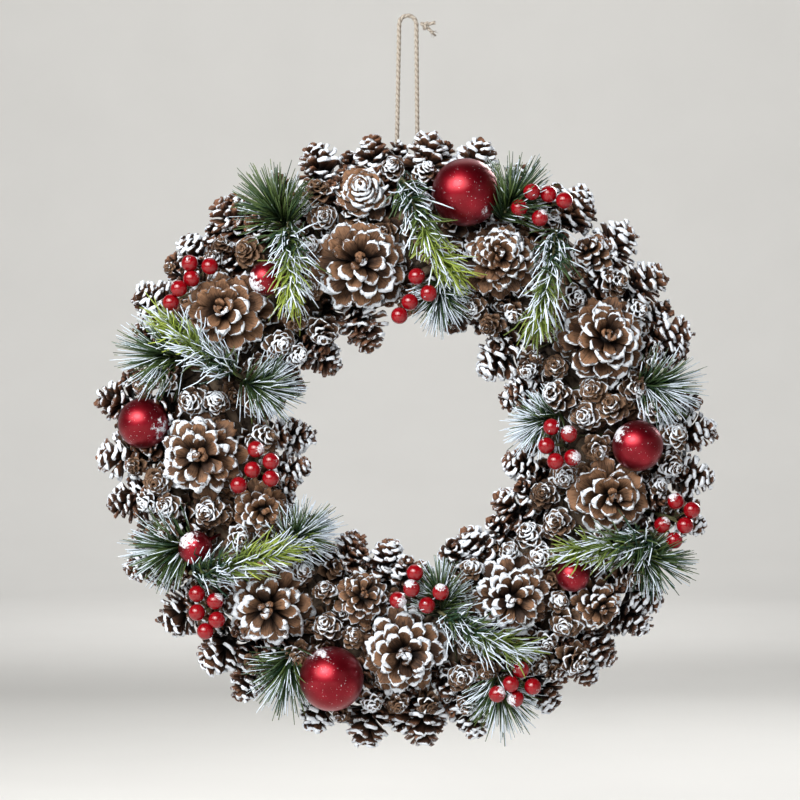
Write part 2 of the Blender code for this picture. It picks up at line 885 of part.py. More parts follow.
def twine_route():
    """Up the left strand, round the hook and down the right strand, in the plane of the twine."""
    top = HANG_DROP + TWINE_WIDTH / 2
    rise = top - TWINE_BEND - TWINE_FOOT
    count = round(rise / (TWINE_WIDTH * 5))
    points = []
    for i in range(count + 1):
        part = i / count
        points.append((-7.0 + (7.0 - TWINE_BEND) * part, TWINE_FOOT + rise * part))
    for k in range(1, 4):
        angle = math.pi * (1 - k / 4)
        points.append((TWINE_BEND * math.cos(angle), top + TWINE_BEND * (math.sin(angle) - 1)))
    for i in range(count + 1):
        part = 1 - i / count
        points.append((6.0 + (TWINE_BEND - 6.0) * part, TWINE_FOOT + rise * part))
    return [Vector((x, y, TWINE_PLANE)) for x, y in points]


def twine_curve(name, look, holder):
    data = bpy.data.curves.new(name, "CURVE")
    data.dimensions = "3D"
    data.bevel_depth = TWINE_WIDTH / 2 * MM
    data.bevel_resolution = 2
    data.use_fill_caps = True
    spline = data.splines.new("POLY")
    route = twine_route()
    spline.points.add(len(route) - 1)
    for point, place in zip(spline.points, route):
        point.co = (*(place * MM), 1.0)
    data.materials.append(look)
    made = bpy.data.objects.new(name, data)
    made.parent = holder
    bpy.context.scene.collection.objects.link(made)


def knot_solids():
    """Overhand knot as a lump with two short frayed ends, right of the top of the loop."""
    width = 7.0
    beside = TWINE_BEND + TWINE_WIDTH / 2
    lump = ball((0, 0, 0), width, 7, 4)
    left = min(corner.x for corner in lump[0])
    middle = Vector((beside + CLEAR / 2 - left, HANG_DROP - 4.5, TWINE_PLANE))
    ends = []
    for x, y, z in ((9.0, 2.0, 1.5), (7.0, -6.5, -0.5)):
        reach = Vector((x, y, z))
        ends.append(loft([middle, middle + reach * 0.7, middle + reach], [1.4, 1.3, 2.0], 4))
    return [([corner + middle for corner in lump[0]], lump[1])] + ends


def main():
    for old in list(bpy.data.objects):
        bpy.data.objects.remove(old)
    looks = {
        "vine": material("vine", (0.16, 0.11, 0.08), 0.85),
        "cone": material("cone", (0.36, 0.21, 0.13), 0.75),
        "pine": material("pine", (0.10, 0.20, 0.09), 0.65),
        "bauble": material("bauble", (0.35, 0.01, 0.02), 0.35, 0.4),
        "berries": material("berries", (0.45, 0.01, 0.02), 0.25),
        "twine": material("twine", (0.45, 0.38, 0.30), 0.9),
    }
    holder = bpy.data.objects.new("wreath", None)
    holder.rotation_euler = (math.pi / 2, 0, 0)
    holder.location = (0, TWINE_PLANE * MM, -HANG_DROP * MM)
    bpy.context.scene.collection.objects.link(holder)

    layout = Layout()
    body = base_ring()
    layout.add("base_ring", body)
    ring = Ring(body)
    layout.add("twine_loop", loft(twine_route(), [TWINE_WIDTH / 2] * len(twine_route()), 6))
    for solid in knot_solids():
        layout.add("twine_knot", solid)
    place_baubles(layout, ring)
    place_berries(layout, ring)
    stems = place_stems(layout, ring)
    place_big_cones(layout, ring)
    for name in list(RIM_STRINGS) + [n for n in SMALL_CONES if n not in RIM_STRINGS]:
        place_string(layout, ring, name)
    place_needles(layout, stems)

    twine_curve("twine_loop", looks["twine"], holder)
    for name, solids in layout.solids.items():
        if name == "twine_loop":
            continue
        kind = name.split("_")[0]
        look = looks["cone"]
        if kind in looks:
            look = looks[kind]
        if kind == "base":
            look = looks["vine"]
        finish_node(name, solids, look, holder)


main()
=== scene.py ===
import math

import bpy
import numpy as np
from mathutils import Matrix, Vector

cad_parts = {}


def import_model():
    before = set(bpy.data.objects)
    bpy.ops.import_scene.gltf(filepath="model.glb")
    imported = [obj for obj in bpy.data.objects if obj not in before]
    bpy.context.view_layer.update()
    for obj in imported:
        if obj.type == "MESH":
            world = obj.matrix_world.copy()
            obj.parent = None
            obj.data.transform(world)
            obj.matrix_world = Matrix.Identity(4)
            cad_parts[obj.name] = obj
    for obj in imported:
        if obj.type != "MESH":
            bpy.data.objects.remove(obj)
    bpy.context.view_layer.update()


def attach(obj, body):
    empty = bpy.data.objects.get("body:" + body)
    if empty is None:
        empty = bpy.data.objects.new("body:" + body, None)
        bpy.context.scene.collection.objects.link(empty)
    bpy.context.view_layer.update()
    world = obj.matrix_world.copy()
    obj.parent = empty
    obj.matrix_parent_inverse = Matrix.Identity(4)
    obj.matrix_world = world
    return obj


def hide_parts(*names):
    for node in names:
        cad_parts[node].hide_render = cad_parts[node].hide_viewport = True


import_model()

# Looks of the pinecone wreath. Places and sizes are in millimetres in the wreath's own frame:
# x to the right, y up and z out towards the viewer, with the centre of the wreath at x = y = 0
# and the flat back of the ring at z = 0. Heap.piece turns them into metres in the part's frame.

MM = 0.001
CIRCLE = 2 * math.pi
GOLDEN = math.pi * (3 - math.sqrt(5))
OUTWARD = np.array((0.0, 0.0, 1.0))
RNG = np.random.default_rng(11)
uniform, gauss = RNG.uniform, RNG.normal

# Twine: from the hook point down to the wreath's centre, thickness, height above the flat back,
# radius of the bend, and where the two strands end
HANG_DROP = 253.0
TWINE_WIDTH = 2.8
TWINE_PLANE = 5.0
TWINE_BEND = 5.2
TWINE_FOOT = 153.75
LEFT_FOOT, RIGHT_FOOT = -7.0, 6.0

# Ring of vine: radius of its middle line, half its width, depth; stems and florist's wire
RING_RADIUS = 121.0
RING_HALF_WIDTH = 33.0
RING_DEPTH = 26.0
STEM_RADIUS = 1.3
WIRE_RADIUS = 0.9

# The camera looks level at the wreath: distance from it, width of the view there, aim
VIEW_DISTANCE = 1400.0
VIEW_WIDTH = 472.0
VIEW_PLANE = 40.0
VIEW_CENTRE = (-4.7, 21.8)

# Lights, in metres: place, target, width and height, watts, colour, spread in degrees
FLOOR = -0.56
WREATH = (0.0, -0.03, -0.253)
WHITE = (1.0, 1.0, 1.0)
WARM = (1.0, 1.0, 0.98)
LIGHTS = {
    "key_light": ((-0.95, -1.6, 0.78), WREATH, (2.9, 1.8), 70.0, WARM, 180.0),
    "key_middle": ((-0.85, -1.5, 0.75), WREATH, (1.0, 0.75), 25.0, WARM, 180.0),
    "fill_light": ((1.3, -1.6, 0.1), WREATH, (1.2, 1.2), 2.0, (0.93, 0.96, 1.0), 180.0),
    "rear_light": ((0.9, 1.5, 0.5), WREATH, (1.2, 1.2), 10.0, WHITE, 76.0),
    "wall_light": ((0.0, 1.6, 0.9), (0.0, 4.0, 0.3), (1.6, 1.6), 27.0, WHITE, 180.0),
    "floor_light": ((0.0, 1.5, 1.7), (0.0, 1.4, FLOOR), (1.8, 1.8), 9.0, WHITE, 180.0),
    "front_wall_light": ((0.0, -1.9, 0.9), (0.0, -4.0, 0.8), (1.6, 1.6), 4.0, WHITE, 180.0),
}

# Colours
SNOW = (0.74, 0.78, 0.845)
NEEDLE_FROST = (0.62, 0.7, 0.8)
# Near black, for the dark streaks of the wood grain and for the painted shade at the roots of the
# scales.
DARK_STREAK_AND_PAINTED_SHADE = (0.003, 0.0015, 0.001)


def blade(rows, cols):
    """Closed blade, finer at its tip and edges: how far each corner lies along it and across it,
    on which face, and its triangles."""
    lengthways = 1 - (1 - np.linspace(0, 1, rows)) ** 1.5
    sideways = np.linspace(-1, 1, cols)
    sideways = np.sign(sideways) * (1 - (1 - abs(sideways)) ** 1.4)
    along, across = np.meshgrid(lengthways, sideways, indexing="ij")
    count = rows * cols
    quads = []
    for r in range(rows - 1):
        for c in range(cols - 1):
            a = r * cols + c
            quads.append((a, a + 1, a + 1 + cols, a + cols))
            quads.append((count + a, count + a + cols, count + a + 1 + cols, count + a + 1))
    border = [*range(cols), *(r * cols + cols - 1 for r in range(1, rows))]
    border += [*range(count - 2, count - cols - 1, -1), *(r * cols for r in range(rows - 2, 0, -1))]
    for a, b in zip(border, border[1:] + border[:1]):
        quads.append((b, a, count + a, count + b))
    triangles = [t for q in quads for t in ((q[0], q[1], q[2]), (q[0], q[2], q[3]))]
    face = np.repeat([1.0, -1.0], count)
    return np.tile(along.ravel(), 2), np.tile(across.ravel(), 2), face, np.array(triangles)


# Kinds of cone. Flare is a scale's angle from the axis at the base and at the tip of the cone.
# Reach and broad are its length and width as shares of the cone's width, and rise its place as a
# share of the cone's length, each at the base and what that loses or gains. Root is its width at
# its foot, cup, curl and hook its bends, twist how unevenly it rolls, bead how far snow reaches in
# from its edge, relief how thick that lies, and heart how many scales stand up at the tip.
BIG = dict(
    blade=blade(8, 8), scales=40, flare=(98, 36), bow=1.0, reach=(0.98, 0.5), broad=(0.29, 0.16),
    rise=(0.08, 0.62), thick=2.3, cup=0.07, curl=0.02, hook=0.06, root=0.46, bead=2.9, relief=0.4,
    twist=15, heart=6,
)
SCALLOP = dict(BIG, flare=(98, 27), broad=(0.32, 0.18), cup=0.12, scales=36, thick=1.9, bead=2.5)
FINGER = dict(
    BIG, flare=(98, 38), broad=(0.21, 0.09), cup=0.05, scales=38, thick=2.9, bead=3.4, twist=20,
)
TIGHT = dict(SCALLOP, flare=(98, 20), broad=(0.25, 0.13), scales=60, bead=2.0)
MIDDLE = dict(
    BIG, blade=blade(6, 6), scales=42, thick=1.6, bead=1.7, relief=0.25, broad=(0.27, 0.15),
)
CLOSED = dict(
    MIDDLE, flare=(82, 5), scales=46, broad=(0.4, 0.18), curl=0.1, reach=(1.0, 0.5), thick=1.2,
    heart=0, bead=1.8,
)
SMALL = dict(
    blade=blade(5, 5), scales=30, flare=(80, 3), bow=0.95, reach=(1.0, 0.46), broad=(0.46, 0.24),
    rise=(0.04, 0.64), thick=0.9, cup=0.26, curl=0.06, hook=0.12, root=0.55, bead=1.2, relief=0.2,
    twist=9, heart=2,
)
SIDE = dict(
    blade=blade(5, 4), scales=38, flare=(86, 18), bow=1.05, reach=(1.0, 0.34), broad=(0.28, 0.09),
    rise=(0.04, 0.66), thick=1.6, cup=0.14, curl=0.08, hook=-0.05, root=0.45, bead=2.2, relief=0.35,
    twist=12, heart=4,
)
UNDER = dict(SMALL, blade=blade(4, 3), scales=16, thick=1.0, bead=1.2)
FILL = dict(SIDE, blade=blade(4, 3), scales=22, broad=(0.34, 0.1), bead=2.0)

# Big cones seen from the tip: x, y, width, how far the tip leans right and up, kind, snow, tone
BIG_CONES = [
    (-28, 103, 54, 0.05, 0.1, BIG, 1.1, 0.45),
    (54, 106, 45, 0.05, 0.15, TIGHT, 1.1, 0.4),
    (116, 58, 52, 0.15, 0.1, dict(SCALLOP, scales=44, broad=(0.29, 0.15)), 1.1, 0.45),
    (-109, 74, 50, -0.15, 0.1, SCALLOP, 0.9, 0.65),
    (-122, -11, 51, -0.1, 0.0, dict(FINGER, scales=42, broad=(0.25, 0.13)), 1.15, 0.4),
    (120, -35, 46, 0.1, -0.05, dict(SCALLOP, scales=34, broad=(0.36, 0.21)), 1.0, 0.6),
    (61, -95, 47, 0.0, -0.1, dict(BIG, scales=48, broad=(0.24, 0.12)), 1.35, 0.35),
    (-2, -127, 50, 0.0, -0.1, dict(BIG, broad=(0.26, 0.12)), 1.35, 0.4),
    (-82, -100, 52, -0.1, -0.1, FINGER, 1.2, 0.6),
    (-86, -43, 32, 0.2, -0.1, MIDDLE, 0.8, 0.75),
    (-27, 146, 31, -0.05, 0.2, CLOSED, 1.0, 0.55),
    (113, -100, 33, 0.35, -0.35, MIDDLE, 1.1, 0.5),
    (-27, -94, 32, 0.1, 0.25, MIDDLE, 0.9, 0.45),
    (107, 110, 27, -0.55, 0.45, MIDDLE, 1.2, 0.35),
]

# Cones that lie on the sides of the ring and point out, or into the hole: angle in degrees,
# distance of the middle from the wreath's centre, length, width, height above the back
RIM_STRINGS = {
    "outer_cones_top_left": [
        (97, 170, 27, 20, 21), (108, 171, 26, 24, 16), (129, 170, 25, 22, 15),
        (139, 168, 24, 22, 15), (152, 172, 26, 24, 15),
    ],
    "outer_cones_left": [
        (173, 176, 24, 22, 15), (184, 174, 26, 24, 15), (193, 172, 26, 22, 15),
        (206, 177, 20, 19, 15), (218, 172, 28, 26, 15),
    ],
    "outer_cones_bottom_left": [
        (229, 172, 26, 25, 15), (237, 178, 22, 18, 15), (252, 175, 24, 20, 15),
        (262, 174, 26, 25, 15), (273, 172, 26, 25, 15),
    ],
    "outer_cones_bottom_right": [
        (283, 175, 22, 19, 15), (298, 175, 22, 20, 15), (307, 177, 18, 15, 15),
        (312, 172, 24, 20, 15), (321, 174, 24, 20, 15),
    ],
    "outer_cones_right": [
        (326, 171, 24, 21, 15), (343, 178, 20, 15, 15), (352, 174, 24, 20, 15),
        (1, 174, 24, 20, 15), (21, 168, 26, 24, 15),
    ],
    "outer_cones_top_right": [
        (33, 170, 26, 24, 15), (43, 171, 27, 24, 15), (54, 171, 25, 22, 15),
        (76, 170, 26, 24, 15), (86, 170, 27, 22, 20),
    ],
    "inner_cones_left": [
        (112, 68, 25, 22, 18), (137, 69, 25, 20, 18), (180, 66, 24, 18, 16), (196, 71, 24, 18, 18),
    ],
    "inner_cones_bottom": [
        (243, 76, 22, 20, 18), (261, 74, 24, 21, 18), (301, 77, 22, 22, 18),
    ],
    "inner_cones_right": [
        (326, 75, 25, 22, 18), (346, 69, 22, 18, 16), (20, 71, 24, 20, 18), (40, 70, 26, 23, 18),
    ],
}

# Small cones on the front, by the string that holds them: x, y, width
SMALL_CONES = {
    "outer_cones_top_left": [
        (-9, 160, 15), (-53, 146, 18), (-64, 137, 14), (-95, 110, 20), (-50, 130, 17),
        (-116, 106, 11), (-110, 114, 12),
    ],
    "outer_cones_left": [
        (-145, 35, 19), (-149, -27, 17), (-162, -18, 13), (-143, -41, 17), (-143, -57, 15),
        (-129, 21, 17), (-113, 21, 15), (-118, -45, 20), (-99, -60, 15), (-156, -40, 12),
        (-158, 30, 13), (-142, 100, 8),
    ],
    "outer_cones_bottom_left": [
        (-91, -136, 15), (-65, -130, 18), (-21, -158, 14), (13, -159, 15), (-6, -159, 13),
        (-40, -165, 12),
    ],
    "outer_cones_bottom_right": [
        (35, -160, 14), (47, -139, 15), (32, -143, 18), (82, -122, 13), (100, -132, 21),
        (93, -111, 20), (78, -136, 13), (87, -140, 11), (90, -97, 13),
    ],
    "outer_cones_right": [
        (132, -81, 20), (156, -17, 18), (158, 1, 18), (146, 17, 17), (149, -29, 12),
        (119, -73, 11), (116, -57, 11), (144, 44, 12),
    ],
    "outer_cones_top_right": [
        (124, 91, 18), (99, 81, 17), (85, 129, 14), (11, 157, 17), (57, 134, 11), (137, 75, 13),
    ],
    "inner_cones_left": [
        (-50, 61, 20), (-65, 69, 18), (-75, 54, 19), (-57, 87, 14), (-58, 112, 14),
        (-84, -1, 20), (-90, 20, 18), (-88, 41, 15), (-64, 48, 13),
    ],
    "inner_cones_bottom": [
        (-48, -111, 18), (-49, -90, 14), (-62, -79, 15), (-32, -118, 14), (37, -78, 14),
        (34, -98, 14), (37, -123, 17), (60, -67, 12),
    ],
    "inner_cones_right": [
        (38, 77, 17), (48, 66, 17), (63, 72, 14), (84, 64, 14), (87, 42, 15), (70, 39, 13),
        (75, 47, 9),
    ],
    "small_cones_right": [
        (87, 25, 21), (109, 28, 18), (104, 12, 19), (120, 18, 20), (135, 30, 18),
        (112, -8, 18), (93, -24, 15),
    ],
    "small_cones_lower_right": [(80, -34, 18), (88, -51, 20), (71, -57, 18), (78, -71, 17)],
}

# Baubles: centre x, y, width, height of the centre above the back, way of the frost, its reach
# round the ball in degrees
BAUBLES = [
    (34, 144, 40, 44, (0.55, -0.6, 0.5), 7),
    (-45, -142, 38, 46, (-0.35, 0.85, 0.4), 15),
    (-157, 8, 30, 33, (0.74, -0.2, 0.6), 19),
    (135, -5, 30, 46, (-0.78, 0.52, 0.35), 22),
    (97, -81, 20, 44, (-0.22, -0.12, 0.95), 6),
    (-125, -65, 20, 46, (-0.45, 0.6, 0.6), 38),
    (-83, 93, 20, 50, (-0.75, -0.45, 0.45), 40),
]

# Berry bunches: places of the berries, height of the bunch above the back, snowy berries
BERRY_WIDTH = 10.0
BERRY_BUNCHES = [
    ([(-128, 102), (-116, 100), (-127, 93), (-134, 87), (-139, 79)], 50, ()),
    ([(65, 134), (72, 143), (82, 142), (91, 138), (77, 128)], 56, (4,)),
    ([(5, 94), (12, 84), (1, 79), (-5, 71)], 54, ()),
    ([(84, 6), (94, 2), (81, -5), (86, -14), (96, -12)], 52, (1, 4)),
    ([(158, -38), (167, -43), (150, -52), (163, -52), (157, -61)], 42, (0, 2)),
    ([(-89, -7), (-80, -14), (-91, -19), (-80, -24), (-99, -28)], 54, (0,)),
    ([(-124, -92), (-113, -96), (-124, -103), (-112, -107), (-119, -114)], 48, (1,)),
    ([(4, -79), (2, -88), (-6, -95), (19, -90), (11, -98)], 56, (1, 2, 3)),
    ([(66, -136), (60, -144), (73, -146), (52, -150), (63, -153)], 52, (3, 4)),
]


def unit(vectors):
    return vectors / np.linalg.norm(vectors, axis=-1, keepdims=True)


def ramp(low, high, value):
    """Smooth step from 0 at low to 1 at high."""
    part = np.clip((value - low) / (high - low), 0, 1)
    return part * part * (3 - 2 * part)


def ripple(points, size):
    """Uneven field from 0 to 1 whose lumps are about this size."""
    p = points / size
    a = np.sin(p @ (2.1, 1.3, -0.7) + 1.7 * np.sin(p @ (-0.9, 1.9, 1.1)))
    b = np.sin(p @ (-1.2, 2.3, 1.6) + 1.3 * np.sin(p @ (1.7, 0.4, -2.0)) + 2.0)
    return 0.5 + 0.25 * (a + b)


def world(points):
    """From the wreath's own millimetres to metres in the part's frame."""
    x, y, z = points[..., 0], points[..., 1], points[..., 2]
    return np.stack([x, TWINE_PLANE - z, y - HANG_DROP], axis=-1) * MM


def eased(points, top=73.0, ease=6.0):
    """Points kept off the wall and below the top height, with no sharp limit."""
    height = points[..., 2]
    height = np.where(height < ease, ease * np.exp(np.minimum(height / ease - 1, 0)), height)
    over = np.minimum((top - ease - height) / ease, 0)
    height = np.where(over < 0, top - ease * np.exp(over), height)
    return np.concatenate([points[..., :2], height[..., None]], axis=-1)


def spot(distance, turn, height):
    """Point this far from the wreath's centre, at an angle from the right."""
    return np.array((distance * math.cos(turn), distance * math.sin(turn), height))


def spokes(side, rise, sides):
    """Ways out all round each point of a line, from two ways across it."""
    angle = np.arange(sides) * CIRCLE / sides
    return np.cos(angle)[:, None] * side[:, None] + np.sin(angle)[:, None] * rise[:, None]


def linked(name, data):
    made = bpy.data.objects.new(name, data)
    bpy.context.scene.collection.objects.link(made)
    return made


class Heap:
    """Solids that make one piece: corners, triangles and what the material reads at a corner."""

    def __init__(self):
        self.solids = []
        self.count = 0

    def add(self, corners, triangles, shade=1.0, snow=-1.0, tint=0.5, grain=None):
        """Corners may be one solid or a stack of equal ones, which share their triangles."""
        if corners.ndim == 2:
            corners = corners[None]
        shape = corners.shape[:2]
        starts = self.count + shape[1] * np.arange(shape[0])
        triangles = triangles[None] + starts[:, None, None]
        looks = np.stack([np.broadcast_to(value, shape) for value in (shade, snow, tint)], axis=-1)
        grain = corners if grain is None else grain
        self.solids.append([rows.reshape(-1, 3) for rows in (corners, triangles, looks, grain)])
        self.count += shape[0] * shape[1]

    def piece(self, name, look, slot, *nodes):
        """Object that takes the place of these nodes of the part."""
        corners, triangles, looks, grain = (np.concatenate(rows) for rows in zip(*self.solids))
        mesh = bpy.data.meshes.new(name)
        mesh.from_pydata(world(corners).tolist(), [], triangles.tolist())
        for i, field in enumerate(("shade", "snow", "tint")):
            values = mesh.attributes.new(field, "FLOAT", "POINT")
            values.data.foreach_set("value", looks[:, i])
        values = mesh.attributes.new("grain", "FLOAT_VECTOR", "POINT")
        values.data.foreach_set("vector", grain.ravel())
        mesh.shade_smooth()
        mesh.materials.append(LOOKS[look])
        made = linked(name, mesh)
        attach(made, "root")
        if nodes:
            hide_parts(*nodes)
        return made


def tube(heap, points, radii, sides, shade=1.0, snow=-1.0, tint=0.5):
    """Closed tube through the points, with one radius or one at each."""
    points = np.array(points)
    ahead = unit(np.gradient(points, axis=0))
    whole = ahead.mean(axis=0)
    steep = abs(whole[2]) >= 0.8 * np.linalg.norm(whole)
    side = unit(np.cross(ahead, (0.0, 1.0, 0.0) if steep else OUTWARD))
    ring = spokes(side, np.cross(side, ahead), sides)
    corners = points[:, None] + ring * np.reshape(radii, (-1, 1, 1))
    corners = np.concatenate([corners.reshape(-1, 3), points[:1], points[-1:]])
    heap.add(corners, tube_triangles(len(points), sides), shade, snow, tint)


def tube_triangles(count, sides):
    """Triangles of a tube with a fan over each end; its last two corners are the end points."""
    triangles = []
    first, last = count * sides, count * sides + 1
    for k in range(sides):
        n = (k + 1) % sides
        for i in range(count - 1):
            a, b = i * sides + k, i * sides + n
            triangles += [(a, b, b + sides), (a, b + sides, a + sides)]
        triangles.append((n, k, first))
        triangles.append(((count - 1) * sides + k, (count - 1) * sides + n, last))
    return np.array(triangles)


def hoop_triangles(count, sides):
    """Triangles of a tube that closes on itself."""
    triangles = []
    for i in range(count):
        j = (i + 1) % count
        for k in range(sides):
            n = (k + 1) % sides
            a, b, c, d = i * sides + k, i * sides + n, j * sides + n, j * sides + k
            triangles += [(a, b, c), (a, c, d)]
    return np.array(triangles)


def hoop(heap, points, radii, sides, tint, across=OUTWARD):
    """Closed loop of tube through the points, none of whose ways lies along across."""
    ahead = unit(np.roll(points, -1, axis=0) - np.roll(points, 1, axis=0))
    side = unit(np.cross(ahead, across))
    ring = spokes(side, np.cross(side, ahead), sides)
    corners = points[:, None] + ring * np.reshape(radii, (-1, 1, 1))
    heap.add(corners.reshape(-1, 3), hoop_triangles(len(points), sides), tint=tint)


def ring_seat(place):
    """Point on the front of the ring behind a place, kept off its very sides."""
    x, y = place[:2]
    distance = math.hypot(x, y)
    around = math.acos(max(-0.9, min(0.9, (distance - RING_RADIUS) / (1.15 * RING_HALF_WIDTH))))
    radius = RING_RADIUS + 0.9 * RING_HALF_WIDTH * math.cos(around)
    height = 8 + (RING_DEPTH - 10) * math.sin(around)
    return np.array((x / distance * radius, y / distance * radius, height))


# How single scales differ: turn in radians, flare in degrees, the rest as shares. Scales of the
# heart, which stand up at the tip, have ranges of their own.

ASKEW = (0.31, 0.87, 0.38)
TURN_SPREAD = 0.09
FLARE_SPREAD = 4.0
REACH_SPREAD = 0.04
BROAD_SPREAD = 0.08
WEAR_SPREAD = 0.028
SKEW_SPREAD = 0.06
TINT_SPREAD = 0.24
HEART_FLARE = (-22, 30)
HEART_REACH = (0.45, 0.85)
HEART_BREADTH = 0.75
HEART_SNOW = 0.6
HEAVY_SHARE = 0.15
HEAVY_SNOW = (0.4, 1.0)
LIGHT_SNOW = (0.6, 1.1)
CORE_RADII = (0.1, 0.13, 0.05)


def cone(heap, base, axis, length, width, kind, snow, tone):
    """Scales in a golden spiral round the axis, from the base of the cone to its tip."""
    axis = unit(axis)
    side = unit(np.cross(axis, ASKEW))
    rise = np.cross(axis, side)
    count = kind["scales"]
    along, across, face, triangles = kind["blade"]

    # Turn, angle, length, width and height of each scale
    part = (np.arange(count) + 0.5) / count
    inner = np.arange(count) >= count - kind["heart"]
    turn = np.arange(count) * GOLDEN + uniform(0, 6.28) + gauss(0, TURN_SPREAD, count)
    low, high = kind["flare"]
    flare = low + (high - low) * part ** kind["bow"] + gauss(0, FLARE_SPREAD, count)
    flare = np.radians(np.where(inner, uniform(*HEART_FLARE, count), flare))
    most, loss = kind["reach"]
    reach = width / 2 * (most - loss * part) * gauss(1, REACH_SPREAD, count)
    reach = reach * np.where(inner, uniform(*HEART_REACH, count), 1.0)
    most, loss = kind["broad"]
    broad = width * (most - loss * part) * gauss(1, BROAD_SPREAD, count)
    broad = broad * np.where(inner, HEART_BREADTH, 1.0)
    height = length * (kind["rise"][0] + kind["rise"][1] * part)

    # Its ways: out from the axis, along the scale, off its face and across it
    out = np.cos(turn)[:, None] * side + np.sin(turn)[:, None] * rise
    aim = out * np.sin(flare)[:, None] + axis * np.cos(flare)[:, None]
    normal = axis * np.sin(flare)[:, None] - out * np.cos(flare)[:, None]
    flank = np.cross(aim, normal)
    roll = np.radians(gauss(0, kind["twist"], count))[:, None]
    flank, normal = (
        flank * np.cos(roll) + normal * np.sin(roll),
        normal * np.cos(roll) - flank * np.sin(roll),
    )

    # Its outline with a round, worn tip, and its bends and thickness
    shape = kind["root"] + (1 - kind["root"]) * np.minimum(along / 0.85, 1.0) ** 1.3
    shape = shape * np.sqrt(1 - np.clip((along - 0.8) / 0.225, 0, 1) ** 4)
    reach, broad = reach[:, None], broad[:, None]
    worn = np.tile(gauss(0, WEAR_SPREAD, (count, along.size // 2)), 2)
    worn = worn * ramp(0.45, 0.9, along)
    x = broad / 2 * shape * across * (1 + worn)
    y = reach * (along - 0.11 * across**2 * along**3 + worn)
    z = kind["cup"] * broad * across**2 * ramp(0, 0.6, along)
    z = z + kind["curl"] * reach * np.sin(along * 3.1) - kind["hook"] * reach * along**4
    z = z + gauss(0, SKEW_SPREAD, (count, 1)) * broad * across * along + 0.5 * worn * reach
    thick = kind["thick"] * (0.45 + 0.55 * along) * (1 - 0.35 * ramp(0.6, 1.0, abs(across)))
    z = z + face * thick / 2
    streak = np.broadcast_to(uniform(0, 90, (count, 1)), x.shape)
    grain = np.stack([x, y * 0.12, streak], axis=-1)

    start = base + axis * height[:, None] + out * (width * 0.07 * (1 - 0.6 * part))[:, None]
    corners = start[:, None] + aim[:, None] * y[..., None] + flank[:, None] * x[..., None]
    corners = corners + normal[:, None] * z[..., None]

    # Its snow, which lies in from the edge, deeper on some scales and on one side of the cone
    inward = 1.3 * broad / 2 * (1 - abs(across)) + 12 * ramp(0.9, 0.5, along)
    inward = np.minimum(reach * (1.0 - along), inward)
    bead = kind["bead"] * (0.45 + 0.55 * broad / broad.max())
    drift = 1 + 0.35 * (out @ unit(np.array((*gauss(0, 1, 2), 0.3))))
    heavy = uniform(0, 1, count) < HEAVY_SHARE
    heavy = np.where(heavy, uniform(*HEAVY_SNOW, count), 0.0)
    amount = snow * drift * (uniform(*LIGHT_SNOW, count) + heavy)
    amount = (amount * (1 - 0.25 * ramp(0.6, 1, part)))[:, None]
    amount = amount * (0.55 + ripple(corners, 1.3 + width * 0.03)) * np.where(face > 0, 1.0, 0.75)
    amount = np.minimum(amount, 1.45) * np.where(inner, HEART_SNOW, 1.0)[:, None]
    cover = np.clip((amount - 0.35 - inward / bead) / 0.6, -1, 1)
    push = kind["relief"] * ramp(0.0, 1.0, cover) * np.minimum(amount, 1.4)
    corners = corners + normal[:, None] * (push * face)[..., None]
    corners = corners + aim[:, None] * (push * 0.6 * ramp(0.8, 1, along))[..., None]

    # Painted shade for the material: 0 at the scale's root and 1 at its tip, lower on the
    # underside; high values also lighten the worn tip.
    shade = (0.04 + 0.96 * along) * np.where(face > 0, 1.0, 0.85)
    tint = np.clip(tone + gauss(0, TINT_SPREAD, (count, 1)), 0, 1)
    heap.add(eased(corners), triangles, shade, cover, tint, grain)
    # The core gets the full painted shade, so that it shows near black between the scales.
    core = [base - axis, base + axis * length * 0.3, base + axis * length * 0.72]
    tube(heap, core, [width * share for share in CORE_RADII], 7, shade=0.0, tint=tone)


def needles(heap, roots, ways, lengths, bends, radius, tint, frost, rows=3, wave=0.0):
    """Slim three-sided needles that bend on the way, with most of their frost on one edge."""
    step = np.linspace(0, 1, rows)
    side = unit(np.cross(ways, (0.43, 0.21, 0.88)))
    lengths = lengths[:, None, None]
    line = roots[:, None] + ways[:, None] * lengths * step[None, :, None]
    line = line + bends[:, None] * lengths * (step**2)[None, :, None]
    swing = np.sin(step * 5.0) * wave
    line = line + gauss(0, 1, (len(roots), 1, 3)) * lengths * swing[None, :, None]
    line = eased(line)
    thin = radius * (1 - 0.55 * step**3)
    ring = spokes(side, np.cross(ways, side), 3)
    corners = line[:, :, None] + ring[:, None] * thin[None, :, None, None]
    corners = corners.reshape(len(roots), -1, 3)
    corners = np.concatenate([corners, line[:, :1], line[:, -1:]], axis=1)
    place = np.concatenate([np.repeat(step, 3), [0, 1]])
    edge = np.concatenate([np.tile([1.0, 0.55, 0.35], rows), [0.5, 0.9]])
    whitens = edge * (0.45 + 0.55 * ramp(0.1, 0.8, place)) + 0.4 * ramp(0.5, 1, place)
    heap.add(corners, tube_triangles(rows, 3), place, frost[:, None] * whitens, tint[:, None])


